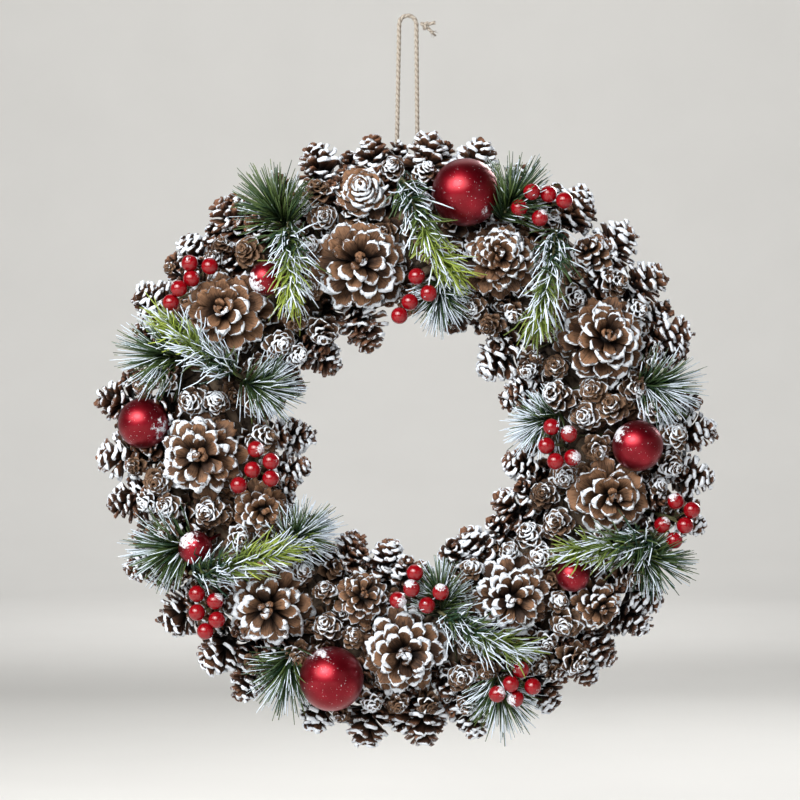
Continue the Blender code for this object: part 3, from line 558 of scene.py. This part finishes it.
def along_path(points, parts):
    """Points of a smooth curve through these, at parts of the way from 0 to 1, and its ways."""
    points = np.array(points)
    knots = np.concatenate([[0], np.cumsum(np.linalg.norm(np.diff(points, axis=0), axis=1))])
    knots = knots / knots[-1]
    slopes = np.gradient(points, knots, axis=0)
    leg = np.clip(np.searchsorted(knots, parts, side="right") - 1, 0, len(points) - 2)
    span = (knots[leg + 1] - knots[leg])[:, None]
    s = (parts - knots[leg])[:, None] / span
    a, b = points[leg], points[leg + 1]
    ma, mb = slopes[leg] * span, slopes[leg + 1] * span
    place = (2 * s**3 - 3 * s**2 + 1) * a + (s**3 - 2 * s**2 + s) * ma
    place = place + (3 * s**2 - 2 * s**3) * b + (s**3 - s**2) * mb
    way = (6 * s**2 - 6 * s) * (a - b) + (3 * s**2 - 4 * s + 1) * ma + (3 * s**2 - 2 * s) * mb
    return place, unit(way)


def turned(ways, turn, angle):
    """Ways at this angle from these, turned round them, and the ways straight out from them."""
    side = unit(np.cross(ways, OUTWARD))
    out = side * np.cos(turn)[:, None] + np.cross(side, ways) * np.sin(turn)[:, None]
    return ways * np.cos(angle)[:, None] + out * np.sin(angle)[:, None], out


def fan(heap, tip, way, length, frost, count=190, opens=84.0, crowding=0.62, stem=9.0, radius=0.48):
    """Stiff straight needles that spread from the end of a stem. Returns what shows of the stem."""
    way, tip = unit(np.array(way)), np.array(tip)
    spread = np.radians(opens) * uniform(0.0, 1.0, count) ** crowding
    ways, _ = turned(way, uniform(0, CIRCLE, count), spread)
    ways[:, 2] = np.where(ways[:, 2] < -0.25, -0.5 * ways[:, 2], ways[:, 2]) * 0.8
    ways = unit(ways)
    roots = tip - way * (uniform(0, stem, count) * (0.2 + spread))[:, None]
    lengths = length * uniform(0.72, 1.0, count) * (1 - 0.1 * spread)
    bends = gauss(0, 0.035, (count, 3))
    cover = np.clip(gauss(frost, 0.28, count), 0.05, 1.1)
    needles(heap, roots, ways, lengths, bends, radius, uniform(0.0, 0.25, count), cover)
    return [tip - way * stem, tip]


def sprig(heap, stem, frost, yellow, count=300, tuft=60, length=17.5, slant=66.0, radius=0.66):
    """Short wavy needles all along a side shoot and in a tuft at its tip. Returns its stem."""
    shoot = uniform(0.02, 1.0, count - tuft)
    parts = np.sort(np.concatenate([shoot, uniform(0.9, 1.0, tuft)]))
    roots, ways = along_path(stem, parts)
    at_tip = ramp(0.85, 1.0, parts)
    slants = np.radians(gauss(slant, 11, count) - 34 * at_tip)
    aims, out = turned(ways, np.arange(count) * GOLDEN, slants)
    lengths = length * uniform(0.7, 1.0, count) * (1 - 0.3 * at_tip)
    lengths = np.where(aims[:, 2] < -0.4, lengths * 0.6, lengths)
    bends = (ways * 0.42 - out * 0.22) + gauss(0, 0.28, (count, 3))
    tint = np.clip(yellow * ramp(0.25, 0.75, parts) + gauss(0.05, 0.12, count), 0, 1)
    chance = np.clip(frost * (0.75 - 0.3 * ramp(0.6, 1, parts)), 0, 0.95)
    white = uniform(0, 1, count) < chance
    cover = np.where(white, uniform(0.7, 1.1, count), uniform(0.0, 0.5, count))
    needles(heap, roots, unit(aims), lengths, bends, radius, tint, cover, rows=5, wave=0.1)
    return stem


def ball(heap, centre, width, mesh, way, reach, relief, border=24.0, limit=28.0):
    """Sphere of so many turns and rows, with lumps of snow up to so many degrees from a way."""
    turns, rows = mesh
    polar = np.linspace(0, math.pi, rows + 1)[1:-1]
    turn = np.arange(turns) * CIRCLE / turns
    ring = np.stack([
        np.sin(polar)[:, None] * np.cos(turn), np.sin(polar)[:, None] * np.sin(turn),
        -np.cos(polar)[:, None] * np.ones(turns),
    ], axis=-1).reshape(-1, 3)
    ways = np.concatenate([ring, [(0, 0, -1)], [(0, 0, 1)]])
    away = np.degrees(np.arccos(np.clip(ways @ unit(np.array(way)), -1, 1)))
    snow = (reach - away) / border + 1.1 * (ripple(ways + centre * 0.1, 0.17) - 0.5)
    snow = np.clip(np.where(away > reach + limit, -1, snow), -1, 0.5)
    corners = centre + ways * (width / 2 + relief * np.maximum(snow, 0))[:, None]
    heap.add(corners, tube_triangles(rows - 1, turns), 1.0, snow)


# Materials


class Nodes:
    """Material under way, with short calls for its nodes."""

    def __init__(self, name):
        self.made = bpy.data.materials.new(name)
        self.made.use_nodes = True
        self.tree = self.made.node_tree
        self.shader = self.tree.nodes["Principled BSDF"]

    def put(self, socket, value):
        if isinstance(value, bpy.types.NodeSocket):
            self.tree.links.new(value, socket)
        else:
            socket.default_value = (*value, 1.0) if isinstance(value, tuple) else value

    def node(self, kind, inputs, output=0, **settings):
        """New node with its inputs set or linked. Gives one of its outputs."""
        made = self.tree.nodes.new(f"ShaderNode{kind}")
        for name, value in settings.items():
            setattr(made, name, value)
        for name, value in inputs.items():
            self.put(made.inputs[name], value)
        return made.outputs[output]

    def attribute(self, name, output="Fac"):
        return self.node("Attribute", {}, output, attribute_name=name)

    def noise(self, scale, detail=3.0, rough=0.55, where=None):
        where = where or self.node("TexCoord", {}, "Object")
        inputs = {"Scale": scale, "Detail": detail, "Roughness": rough, "Vector": where}
        return self.node("TexNoise", inputs, "Fac")

    def maths(self, how, a, b):
        return self.node("Math", {0: a, 1: b}, operation=how)

    def centred(self, value, size):
        """The value with its middle, 0.5, brought to zero, times the size."""
        return self.maths("MULTIPLY", self.maths("SUBTRACT", value, 0.5), size)

    def step(self, value, low, high):
        """Smooth step from 0 at low to 1 at high, which may be the lower of the two."""
        inputs = {"Value": value, "From Min": low, "From Max": high}
        return self.node("MapRange", inputs, "Result", interpolation_type="SMOOTHSTEP")

    def mix(self, part, a, b):
        """Mix of two colours."""
        return self.node("Mix", {0: part, 6: a, 7: b}, 2, data_type="RGBA")

    def blend(self, part, a, b):
        """Mix of two numbers."""
        return self.node("Mix", {0: part, 2: a, 3: b})

    def bump(self, height, strength, depth):
        inputs = {"Height": height, "Strength": strength, "Distance": depth}
        self.put(self.shader.inputs["Normal"], self.node("Bump", inputs, "Normal"))

    def finish(self, colour, roughness, specular=0.5):
        self.put(self.shader.inputs["Base Color"], colour)
        self.put(self.shader.inputs["Roughness"], roughness)
        self.put(self.shader.inputs["Specular IOR Level"], specular)
        return self.made


def snow_mask(n, size, low, high, amount):
    """Snow where the corner's snow is high, with a ragged border."""
    ragged = n.centred(n.noise(size, 5.0, 0.75), amount)
    return n.step(n.maths("ADD", n.attribute("snow"), ragged), low, high)


def scale_look(name, middle, light):
    """Woody scales: dark at the root with painted shade, streaked along, with ragged snow on their
    edges.
    """
    n = Nodes(name)
    streaks = n.noise(1.6, 4.0, 0.6, n.attribute("grain", "Vector"))
    cloud = n.noise(200.0, 3.0, 0.6)
    fine = n.noise(2400.0, 3.0, 0.6)
    tone = n.maths("ADD", n.attribute("tint"), n.centred(streaks, 1.2))
    tone = n.maths("ADD", tone, n.centred(cloud, 1.3))
    tone = n.maths("ADD", tone, n.maths("MULTIPLY", n.step(n.attribute("shade"), 0.7, 1.0), 0.35))
    wood = n.mix(n.step(tone, 0.05, 1.05), middle, light)
    wood = n.mix(n.maths("MULTIPLY", n.step(streaks, 0.5, 0.28), 0.6), wood, DARK_STREAK_AND_PAINTED_SHADE)
    # Painted shade: the scales go near black towards their roots and a little darker on their
    # undersides.
    wood = n.mix(n.step(n.attribute("shade"), 0.25, 1.0), DARK_STREAK_AND_PAINTED_SHADE, wood)
    dust = n.maths("MULTIPLY", n.step(fine, 0.64, 0.74), n.step(n.attribute("snow"), -1.2, 0.6))
    snow = snow_mask(n, 1300.0, 0.18, 0.44, 2.5)
    snow = n.maths("MAXIMUM", snow, n.maths("MULTIPLY", dust, 0.55))
    colour = n.mix(snow, wood, SNOW)
    height = n.maths("ADD", n.maths("MULTIPLY", streaks, 0.4), n.maths("MULTIPLY", fine, 0.35))
    n.bump(n.maths("ADD", height, snow), 0.9, 0.0009)
    return n.finish(colour, n.blend(snow, 0.5, 0.85), 0.2)


def needle_look(name):
    """Needles from dark green to yellow green, darker at their roots with painted shade, dusted
    with white towards the tips.
    """
    n = Nodes(name)
    shade, tint = n.attribute("shade"), n.attribute("tint")
    green = n.mix(tint, (0.004, 0.018, 0.01), (0.13, 0.2, 0.022))
    tip = n.mix(tint, (0.016, 0.047, 0.027), (0.34, 0.41, 0.075))
    # Painted shade: each needle is darker towards its root.
    colour = n.mix(shade, green, tip)
    snow = snow_mask(n, 800.0, 0.42, 0.58, 0.5)
    colour = n.mix(snow, colour, NEEDLE_FROST)
    n.bump(snow, 0.4, 0.0003)
    return n.finish(colour, n.blend(snow, 0.5, 0.85), 0.2)


def bauble_look(name):
    """Satin red lacquer with fine scratches, white specks and patches of frost."""
    n = Nodes(name)
    cloud = n.noise(90.0, 3.0, 0.5)
    red = n.mix(n.step(cloud, 0.35, 0.7), (0.18, 0.003, 0.009), (0.26, 0.006, 0.016))
    specks = n.step(n.noise(1100.0, 2.0, 0.5), 0.7, 0.74)
    snow = n.maths("MULTIPLY", snow_mask(n, 620.0, 0.05, 0.55, 3.2), 0.92)
    white = n.maths("MAXIMUM", snow, n.maths("MULTIPLY", specks, 0.65))
    colour = n.mix(white, red, SNOW)
    n.bump(n.maths("ADD", white, n.maths("MULTIPLY", n.noise(2600.0, 2.0), 0.1)), 0.3, 0.0003)
    n.put(n.shader.inputs["Metallic"], n.blend(white, 0.95, 0.0))
    n.put(n.shader.inputs["Coat Weight"], n.blend(white, 0.32, 0.0))
    n.put(n.shader.inputs["Coat Roughness"], 0.21)
    return n.finish(colour, n.blend(white, 0.4, 0.85), 0.3)


def berry_look(name):
    """Glossy red lacquer with ragged snow."""
    n = Nodes(name)
    cloud = n.noise(160.0, 2.0, 0.5)
    red = n.mix(cloud, (0.15, 0.001, 0.003), (0.25, 0.0015, 0.006))
    snow = n.maths("MULTIPLY", snow_mask(n, 1100.0, 0.0, 0.6, 2.8), 0.9)
    colour = n.mix(snow, red, SNOW)
    n.bump(snow, 0.5, 0.0004)
    return n.finish(colour, n.blend(snow, 0.1, 0.85))


def bark_look(name, dark, light, size):
    """Rough dry bark, whose tone differs from strand to strand."""
    n = Nodes(name)
    grain = n.noise(size, 6.0, 0.7)
    tone = n.maths("ADD", grain, n.centred(n.attribute("tint"), 0.45))
    colour = n.mix(n.step(tone, 0.22, 0.8), dark, light)
    n.bump(n.noise(size * 2.5, 5.0, 0.7), 0.7, 0.0008)
    return n.finish(colour, n.blend(grain, 0.95, 0.75), 0.25)


def twine_look(name):
    """Pale jute fibres, dark between the plies with painted shade."""
    n = Nodes(name)
    strands = n.noise(2400.0, 4.0, 0.7)
    colour = n.mix(n.step(strands, 0.3, 0.75), (0.22, 0.185, 0.15), (0.53, 0.48, 0.42))
    # Painted shade in the grooves between the plies, from the shade value that plied gives each
    # corner.
    colour = n.mix(n.attribute("shade"), (0.13, 0.1, 0.075), colour)
    n.bump(strands, 0.8, 0.0004)
    return n.finish(colour, 0.92, 0.2)


LOOKS = {
    "big": scale_look("big_cone_scales", (0.044, 0.02, 0.0105), (0.245, 0.126, 0.067)),
    "small": scale_look("small_cone_scales", (0.04, 0.02, 0.011), (0.19, 0.108, 0.063)),
    "side": scale_look("rim_cone_scales", (0.048, 0.02, 0.011), (0.215, 0.1, 0.056)),
    "needle": needle_look("pine_needles"),
    "bauble": bauble_look("bauble_lacquer"),
    "berry": berry_look("berry_lacquer"),
    "vine": bark_look("vine_bark", (0.016, 0.011, 0.008), (0.17, 0.122, 0.085), 260.0),
    "stem": bark_look("stem_bark", (0.035, 0.04, 0.018), (0.13, 0.12, 0.055), 500.0),
    "twine": twine_look("jute"),
}


# Twine


def twine_route():
    """Up the left strand, round the hook and down the right strand."""
    top = HANG_DROP + TWINE_WIDTH / 2
    rise = top - TWINE_BEND - TWINE_FOOT
    count = round(rise / (TWINE_WIDTH * 2.2))
    parts = [i / count for i in range(count + 1)]
    points = [(LEFT_FOOT - (TWINE_BEND + LEFT_FOOT) * p, TWINE_FOOT + rise * p) for p in parts]
    for k in range(1, 6):
        angle = math.pi * (1 - k / 6)
        points.append((TWINE_BEND * math.cos(angle), top + TWINE_BEND * (math.sin(angle) - 1)))
    for part in parts:
        up = 1 - part
        points.append((RIGHT_FOOT + (TWINE_BEND - RIGHT_FOOT) * up, TWINE_FOOT + rise * up))
    return np.array([(x, y, TWINE_PLANE) for x, y in points])


def plied(heap, points, width, pitch, step=0.6, sides=14):
    """Two-ply cord: a tube whose section has two lobes that turn along it."""
    points = np.array(points)
    legs = np.linalg.norm(np.diff(points, axis=0), axis=1)
    knots = np.concatenate([[0], np.cumsum(legs)])
    count = int(knots[-1] / step) + 1
    place = np.linspace(0, knots[-1], count)
    line = np.stack([np.interp(place, knots, points[:, i]) for i in range(3)], axis=-1)
    ahead = unit(np.gradient(line, axis=0))
    side = unit(np.cross(ahead, OUTWARD + 0.001))
    phase = np.arange(sides) * CIRCLE / sides - (place * CIRCLE / pitch)[:, None]
    lobe = 0.7 + 0.3 * np.abs(np.cos(phase)) ** 0.8
    ring = spokes(side, np.cross(side, ahead), sides)
    corners = line[:, None] + ring * (width / 2 * lobe)[..., None]
    corners = np.concatenate([corners.reshape(-1, 3), line[:1], line[-1:]])
    # Painted shade: low in the grooves between the two lobes.
    shade = np.concatenate([ramp(0.7, 0.92, lobe).ravel(), [1, 1]])
    heap.add(corners, tube_triangles(count, sides), shade)


def make_twine():
    """Loop of twine and its knot with two ends, the second of which is frayed."""
    route = twine_route()
    heap = Heap()
    plied(heap, route, TWINE_WIDTH, 7.0)
    twine = heap.piece("twine_plied", "twine", "twine", "twine_loop")

    heap = Heap()
    middle = np.array((10.2, HANG_DROP - 4.5, TWINE_PLANE))
    ends = ((9.0, 2.0, 1.5), (7.0, -6.5, -0.5))
    hairs = 26
    turn = np.linspace(0, CIRCLE, 40)
    loop = np.stack([
        np.sin(turn) + 0.9 * np.sin(2 * turn), np.cos(turn) - 0.9 * np.cos(2 * turn),
        -0.9 * np.sin(3 * turn),
    ], axis=-1)
    plied(heap, middle + loop, 2.5, 6.0, 0.4)
    for end in ends:
        reach = np.array(end)
        plied(heap, [middle, middle + reach * 0.4, middle + reach * 0.72], 2.3, 6.0, 0.4)
        ways = unit(unit(reach) + gauss(0, 0.28, (hairs, 3)))
        roots = middle + reach * 0.62 + gauss(0, 0.35, (hairs, 3))
        lengths = uniform(2.2, 4.2, hairs)
        bends = gauss(0, 0.1, (hairs, 3))
    needles(heap, roots, ways, lengths, bends, 0.16, np.full(hairs, 0.5), np.zeros(hairs))
    knot = heap.piece("twine_knot_plied", "twine", "twine", "twine_knot")


# Ring


def make_ring():
    """Bundle of twisted vine stems round a dark core, with its back pressed flat."""
    heap = Heap()
    outer, inner, steps, core_steps = 15, 7, 110, 96
    angle = np.linspace(0, CIRCLE, steps + 1)
    for k in range(outer + inner):
        reach, share = (0.97, outer) if k < outer else (0.62, inner)
        phase = CIRCLE * k / share + uniform(-0.15, 0.15)
        twist = (3 if k % 3 else 4) * (1 if k % 5 else -1)
        around = phase + twist * angle + 0.25 * np.sin(5 * angle + phase)
        thick = uniform(3.0, 4.6)
        radius = RING_RADIUS + (RING_HALF_WIDTH - thick) * reach * np.cos(around)
        height = 6 + (RING_DEPTH - 7 - thick) * reach * np.sin(around)
        height = np.maximum(height, thick + 0.8 + 4.0 * (0.38 * k % 1))
        points = np.stack([radius * np.cos(angle), radius * np.sin(angle), height], axis=-1)
        radii = thick * (1 + 0.12 * np.sin(9 * angle[:-1] + k))
        hoop(heap, points[:-1], radii, 5, uniform(0, 1))
    section = [(-29, 3), (29, 3), (28, 8), (17, 18), (0, 22), (-17, 18), (-28, 8)]
    angles = np.linspace(0, CIRCLE, core_steps + 1)[:-1]
    core = np.array([[spot(RING_RADIUS + r, a, z) for r, z in section] for a in angles])
    heap.add(core.reshape(-1, 3), hoop_triangles(core_steps, len(section)))
    heap.piece("vine_ring", "vine", "vine", "base_ring")


def make_ring_wire():
    """Florist's wire wound round the ring, which holds the cones and picks on it."""
    heap = Heap()
    wraps, steps, thick = 22, 36, 0.55
    around = np.linspace(0, CIRCLE, steps + 1)[:-1]
    for k in range(wraps):
        middle = CIRCLE * (k + uniform(-0.3, 0.3)) / wraps
        turn = middle + uniform(-0.05, 0.05) * np.sin(around)
        radius = RING_RADIUS + (RING_HALF_WIDTH + 0.2) * np.cos(around)
        height = np.maximum(6 + (RING_DEPTH - 6.5) * np.sin(around), thick)
        points = np.stack([radius * np.cos(turn), radius * np.sin(turn), height], axis=-1)
        across = (-math.sin(middle), math.cos(middle), 0.0)
        hoop(heap, points, thick, 5, 0.3, across)
    heap.piece("ring_wire", "stem", "vine")


# Cones

BIG_FROM = 40
SIDE_CONE_GROWS = 1.38

# Rows of cones on the sides of the ring: distance from the centre, degrees between two cones,
# outwards or inwards, height above the back
SHOULDER_ROWS = (
    (169, 8.4, 1, 9), (160, 8.0, 1, 16), (151, 9.6, 1, 27), (84, 13.8, -1, 12), (77, 22.5, -1, 22),
)


def make_big_cones():
    """Big and middle cones, which stand on the ring on a stalk each and face the viewer."""
    for i, (x, y, width, right, up, kind, snow, tone) in enumerate(BIG_CONES, 1):
        axis = unit(np.array((right, up, 1.0)))
        length = width * (0.62 if width > BIG_FROM else 0.8)
        base = np.array((x, y, 0.0)) - axis * length * 0.5
        seat = ring_seat(base)
        base[2] = seat[2] + 6
        heap = Heap()
        cone(heap, base, axis, length, width, kind, snow, tone)
        tube(heap, [seat - OUTWARD * 3, base + axis * 2], 2.2, 8, shade=0.2)
        heap.piece(f"cone_{i:02d}_scales", "big", "pine_cone", f"cone_{i:02d}")


def make_strings():
    """Small cones on the front and cones on the sides of the ring, string by string."""
    for name, smalls in SMALL_CONES.items():
        heap = Heap()
        for x, y, width in smalls:
            small_cone(heap, x, y, width)
        heap.piece(f"{name}_rosettes", "small", "pine_cone", name)
    for name, rims in RIM_STRINGS.items():
        heap = Heap()
        for angle, distance, length, width, height in rims:
            turn = math.radians(angle)
            sign, lean = (1, 0.12) if distance > RING_RADIUS else (-1, 0.25)
            way = unit(spot(sign, turn, lean))
            base = spot(distance, turn, height) - way * length * 0.5
            snow, tone = uniform(0.7, 1.2), uniform(0.2, 0.8)
            cone(heap, base, way, length, width * SIDE_CONE_GROWS, SIDE, snow, tone)
            tube(heap, [ring_seat(base), base], WIRE_RADIUS, 6, shade=0.0)
        heap.piece(f"{name}_scales", "side", "pine_cone", name)


def small_cone(heap, x, y, width, kind=SMALL, height=40.0, tilt=0.45):
    """Cone that faces the viewer, leans away from the ring's middle line and stands on a wire."""
    distance = math.hypot(x, y)
    outward = (distance - RING_RADIUS) / RING_HALF_WIDTH * 0.5
    axis = np.array((x / distance * outward, y / distance * outward, 1.0))
    axis = unit(axis + np.array((*uniform(-tilt, tilt, 2), 0.0)))
    centre = np.array((x, y, height - 5 * abs(outward)))
    length = width * 0.85
    base = centre - axis * length * 0.5
    cone(heap, base, axis, length, width, kind, uniform(0.45, 1.15), uniform(0.15, 0.85))
    tube(heap, [ring_seat(base) - OUTWARD, base], WIRE_RADIUS, 6, shade=0.0)


def covered(x, y):
    """Whether a big cone or a bauble hides this place."""
    return any(math.hypot(x - c[0], y - c[1]) < c[2] / 2 - 6 for c in BIG_CONES + BAUBLES)


def make_under_cones(tries=2600, spacing=15.5, nearest=82, farthest=160, crown=46):
    """Small cones that face the viewer under and between the rest, which shut out the ring."""
    placed = []
    heaps = {"left": Heap(), "right": Heap()}
    for _ in range(tries):
        angle, distance = uniform(0, CIRCLE), uniform(nearest, farthest)
        x, y = distance * math.cos(angle), distance * math.sin(angle)
        if covered(x, y) or any(math.hypot(x - a, y - b) < spacing for a, b in placed):
            continue
        placed.append((x, y))
        height = 18 + 11 * (1 - ((distance - RING_RADIUS) / crown) ** 2)
        heap = heaps["left" if x < 0 else "right"]
        small_cone(heap, x, y, uniform(17, 21), UNDER, height, 0.3)
    for side, heap in heaps.items():
        heap.piece(f"under_cones_{side}", "small", "pine_cone")


def make_shoulder_cones(length=22):
    """Cones in rows on both sides of the ring, which point away from its middle line."""
    heaps = {"left": Heap(), "right": Heap()}
    for distance, step, sign, low in SHOULDER_ROWS:
        for k in range(round(360 / step)):
            turn = math.radians(k * step + uniform(-1.5, 1.5))
            centre = spot(distance + uniform(-3, 3), turn, low + uniform(0, 4))
            if covered(centre[0], centre[1]):
                continue
            lean = low / 36 + uniform(-0.1, 0.4)
            way = unit(spot(sign, turn, lean))
            way = unit(way + np.array((*uniform(-0.25, 0.25, 2), 0.0)))
            heap = heaps["left" if math.cos(turn) < 0 else "right"]
            width = uniform(19, 24)
            snow, tone = uniform(0.5, 1.05), uniform(0.1, 0.6)
            cone(heap, centre - way * length / 2, way, length, width, FILL, snow, tone)
    for side, heap in heaps.items():
        heap.piece(f"shoulder_cones_{side}", "side", "pine_cone")


# Picks, berries and baubles

# Pine picks, each of one or more sprays. A fan has the end of its stem, the way that it opens, the
# length of its needles and its frost; a sprig has the points of its stem, its frost and how yellow
# its tip is.
PINE_PICKS = [
    [
        (fan, (-78, 134, 46), (-0.5, 0.8, 0.15), 34, 0.16),
        (sprig, [(-70, 124, 52), (-69, 110, 60), (-68, 97, 58), (-68, 84, 52)], 0.65, 1.0),
    ],
    [(sprig, [(-3, 152, 44), (5, 132, 58), (13, 114, 60), (25, 96, 53)], 0.7, 0.85)],
    [(fan, (62, 140, 46), (0.5, 0.8, 0.1), 33, 0.3)],
    [(fan, (19, 82, 42), (0.0, -1.0, 0.15), 27, 0.62)],
    [(sprig, [(87, 122, 46), (84, 104, 60), (80, 84, 58), (76, 66, 51)], 0.8, 0.5)],
    [(fan, (148, 30, 38), (1.0, -0.08, 0.15), 32, 0.66)],
    [(fan, (78, 8, 38), (-0.95, -0.35, 0.15), 27, 0.74)],
    [
        (sprig, [(145, -60, 46), (130, -62, 56), (114, -65, 56), (98, -67, 51)], 0.4, 0.45),
        (fan, (146, -73, 38), (0.95, -0.38, 0.1), 30, 0.42),
    ],
    [
        (fan, (19, -92, 44), (0.0, 1.0, 0.2), 27, 0.55),
        (sprig, [(20, -103, 54), (36, -112, 62), (50, -119, 58), (63, -124, 51)], 0.85, 0.45),
    ],
    [(fan, (55, -152, 36), (0.2, -1.0, 0.1), 32, 0.58)],
    [(fan, (-71, -138, 38), (-0.25, -1.0, 0.1), 33, 0.42)],
    [
        (sprig, [(-127, -80, 48), (-109, -76, 60), (-91, -71, 60), (-74, -67, 53)], 0.72, 0.9),
        (fan, (-140, -66, 36), (-1.0, -0.15, 0.1), 35, 0.46),
    ],
    [(fan, (-63, -57, 40), (0.8, 0.55, 0.15), 29, 0.7)],
    [
        (sprig, [(-99, 36, 48), (-114, 46, 58), (-128, 56, 56), (-141, 67, 48)], 0.95, 0.85),
        (fan, (-85, 29, 42), (1.0, -0.25, 0.15), 30, 0.66),
    ],
    [(fan, (-144, 48, 38), (-1.0, 0.12, 0.1), 35, 0.48)],
]


def make_picks():
    """Sprays of needles and their stems, which start in the ring."""
    steps = 14
    for i, sprays in enumerate(PINE_PICKS, 1):
        heap, stems = Heap(), Heap()
        for form, *rest in sprays:
            shown = form(heap, *rest)
            foot = ring_seat(shown[0]) - OUTWARD * 2
            path, _ = along_path([foot, *shown], np.linspace(0, 1, steps))
            tube(stems, path, np.linspace(STEM_RADIUS, 0.7, steps), 7)
        name = f"pine_{i:02d}"
        heap.piece(f"{name}_needles", "needle", "pine_green", name)
        stems.piece(f"{name}_stems", "stem", "pine_green")


def make_berries():
    """Bunches of berries, on thin stems from one stalk each."""
    for i, (places, height, snowy) in enumerate(BERRY_BUNCHES, 1):
        heap, stems = Heap(), Heap()
        middle = np.array(places, dtype=float).mean(axis=0)
        hub = np.array((*middle, height - 12.0))
        foot = ring_seat(middle)
        tube(stems, [foot - OUTWARD, hub + OUTWARD * 2], [STEM_RADIUS, 1.1], 7)
        for k, (x, y) in enumerate(places):
            centre = np.array((x, y, height + (2.2 if k % 2 else -1.2)))
            start = hub + (foot - hub) * 0.15 * k
            way = (uniform(-0.8, 0.8), uniform(-0.3, 0.8), 0.5)
            reach = uniform(34, 52) if k in snowy else uniform(-20, 16)
            ball(heap, centre, BERRY_WIDTH, (24, 16), way, reach, relief=0.8)
            tube(stems, [start, start * 0.5 + centre * 0.5, centre], 0.6, 6)
        heap.piece(f"berries_{i}_skins", "berry", "berry_red", f"berries_{i}")
        stems.piece(f"berries_{i}_stems", "stem", "berry_red")


def make_baubles():
    """Baubles with a cap and a wire stalk that point down into the ring."""
    for i, (x, y, width, height, way, reach) in enumerate(BAUBLES, 1):
        heap = Heap()
        centre = np.array((x, y, float(height)))
        foot = ring_seat((x * 0.9, y * 0.9))
        down = unit(foot - centre)
        ball(heap, centre, width, (60, 40), way, reach, relief=0.6)
        cap = [centre + down * (width / 2 - 1.5), centre + down * (width / 2 + 2)]
        tube(heap, cap, [width * 0.15, width * 0.13], 14)
        tube(heap, [centre + down * width * 0.5, foot - OUTWARD], WIRE_RADIUS, 7)
        heap.piece(f"bauble_{i}_ball", "bauble", "bauble_red", f"bauble_{i}")


# Camera, lights and stage


def aimed(made, place, target):
    made.location = place
    made.rotation_euler = (Vector(target) - Vector(place)).to_track_quat("-Z", "Y").to_euler()


def make_camera():
    data = bpy.data.cameras.new("camera")
    data.sensor_width = 36.0
    data.lens = data.sensor_width * VIEW_DISTANCE / VIEW_WIDTH
    camera = linked("camera", data)
    middle = world(np.array((*VIEW_CENTRE, VIEW_PLANE)))
    place = world(np.array((*VIEW_CENTRE, VIEW_PLANE + VIEW_DISTANCE)))
    aimed(camera, place.tolist(), middle.tolist())
    bpy.context.scene.camera = camera


def make_light():
    """Soft lights out of the camera's sight, and a faint sky."""
    for name, (place, target, size, power, colour, spread) in LIGHTS.items():
        data = bpy.data.lights.new(name, "AREA")
        data.shape = "ELLIPSE"
        data.size, data.size_y = size
        data.energy = power
        data.color = colour
        data.spread = math.radians(spread)
        made = linked(name, data)
        made.visible_camera = False
        aimed(made, place, target)
    sky = bpy.data.worlds.new("sky")
    sky.use_nodes = True
    light = sky.node_tree.nodes["Background"].inputs
    light["Color"].default_value = (0.92, 0.95, 1.0, 1.0)
    light["Strength"].default_value = 0.03
    bpy.context.scene.world = sky
    bpy.context.scene.view_settings.view_transform = "Standard"


def make_stage():
    """Pale floor that curves up far from the wreath on every side."""
    flat, curve, turns = 2.6, 1.4, 64
    profile = [(1.5, 0.0), (flat, 0.0)]
    for a in np.linspace(0.1, 1.5, 12):
        profile.append((flat + curve * math.sin(a), curve - curve * math.cos(a)))
    profile.append((4.05, 2.6))
    corners = [spot(r, CIRCLE * k / turns, FLOOR + z) for r, z in profile for k in range(turns)]
    corners.append((0.0, 0.0, FLOOR))
    faces = [(k, (k + 1) % turns, len(corners) - 1) for k in range(turns)]
    for i in range(len(profile) - 1):
        for k in range(turns):
            n = (k + 1) % turns
            faces.append((i * turns + n, i * turns + k, (i + 1) * turns + k, (i + 1) * turns + n))
    mesh = bpy.data.meshes.new("stage")
    mesh.from_pydata(np.array(corners).tolist(), [], faces)
    mesh.shade_smooth()
    n = Nodes("stage_paint")
    pale = n.mix(n.noise(6.0, 2.0), (0.66, 0.65, 0.63), (0.7, 0.69, 0.67))
    mesh.materials.append(n.finish(pale, 0.9))
    stage = linked("stage", mesh)


make_camera()
make_twine()
make_ring()
make_ring_wire()
make_big_cones()
make_strings()
make_under_cones()
make_shoulder_cones()
make_picks()
make_berries()
make_baubles()
make_light()
make_stage()
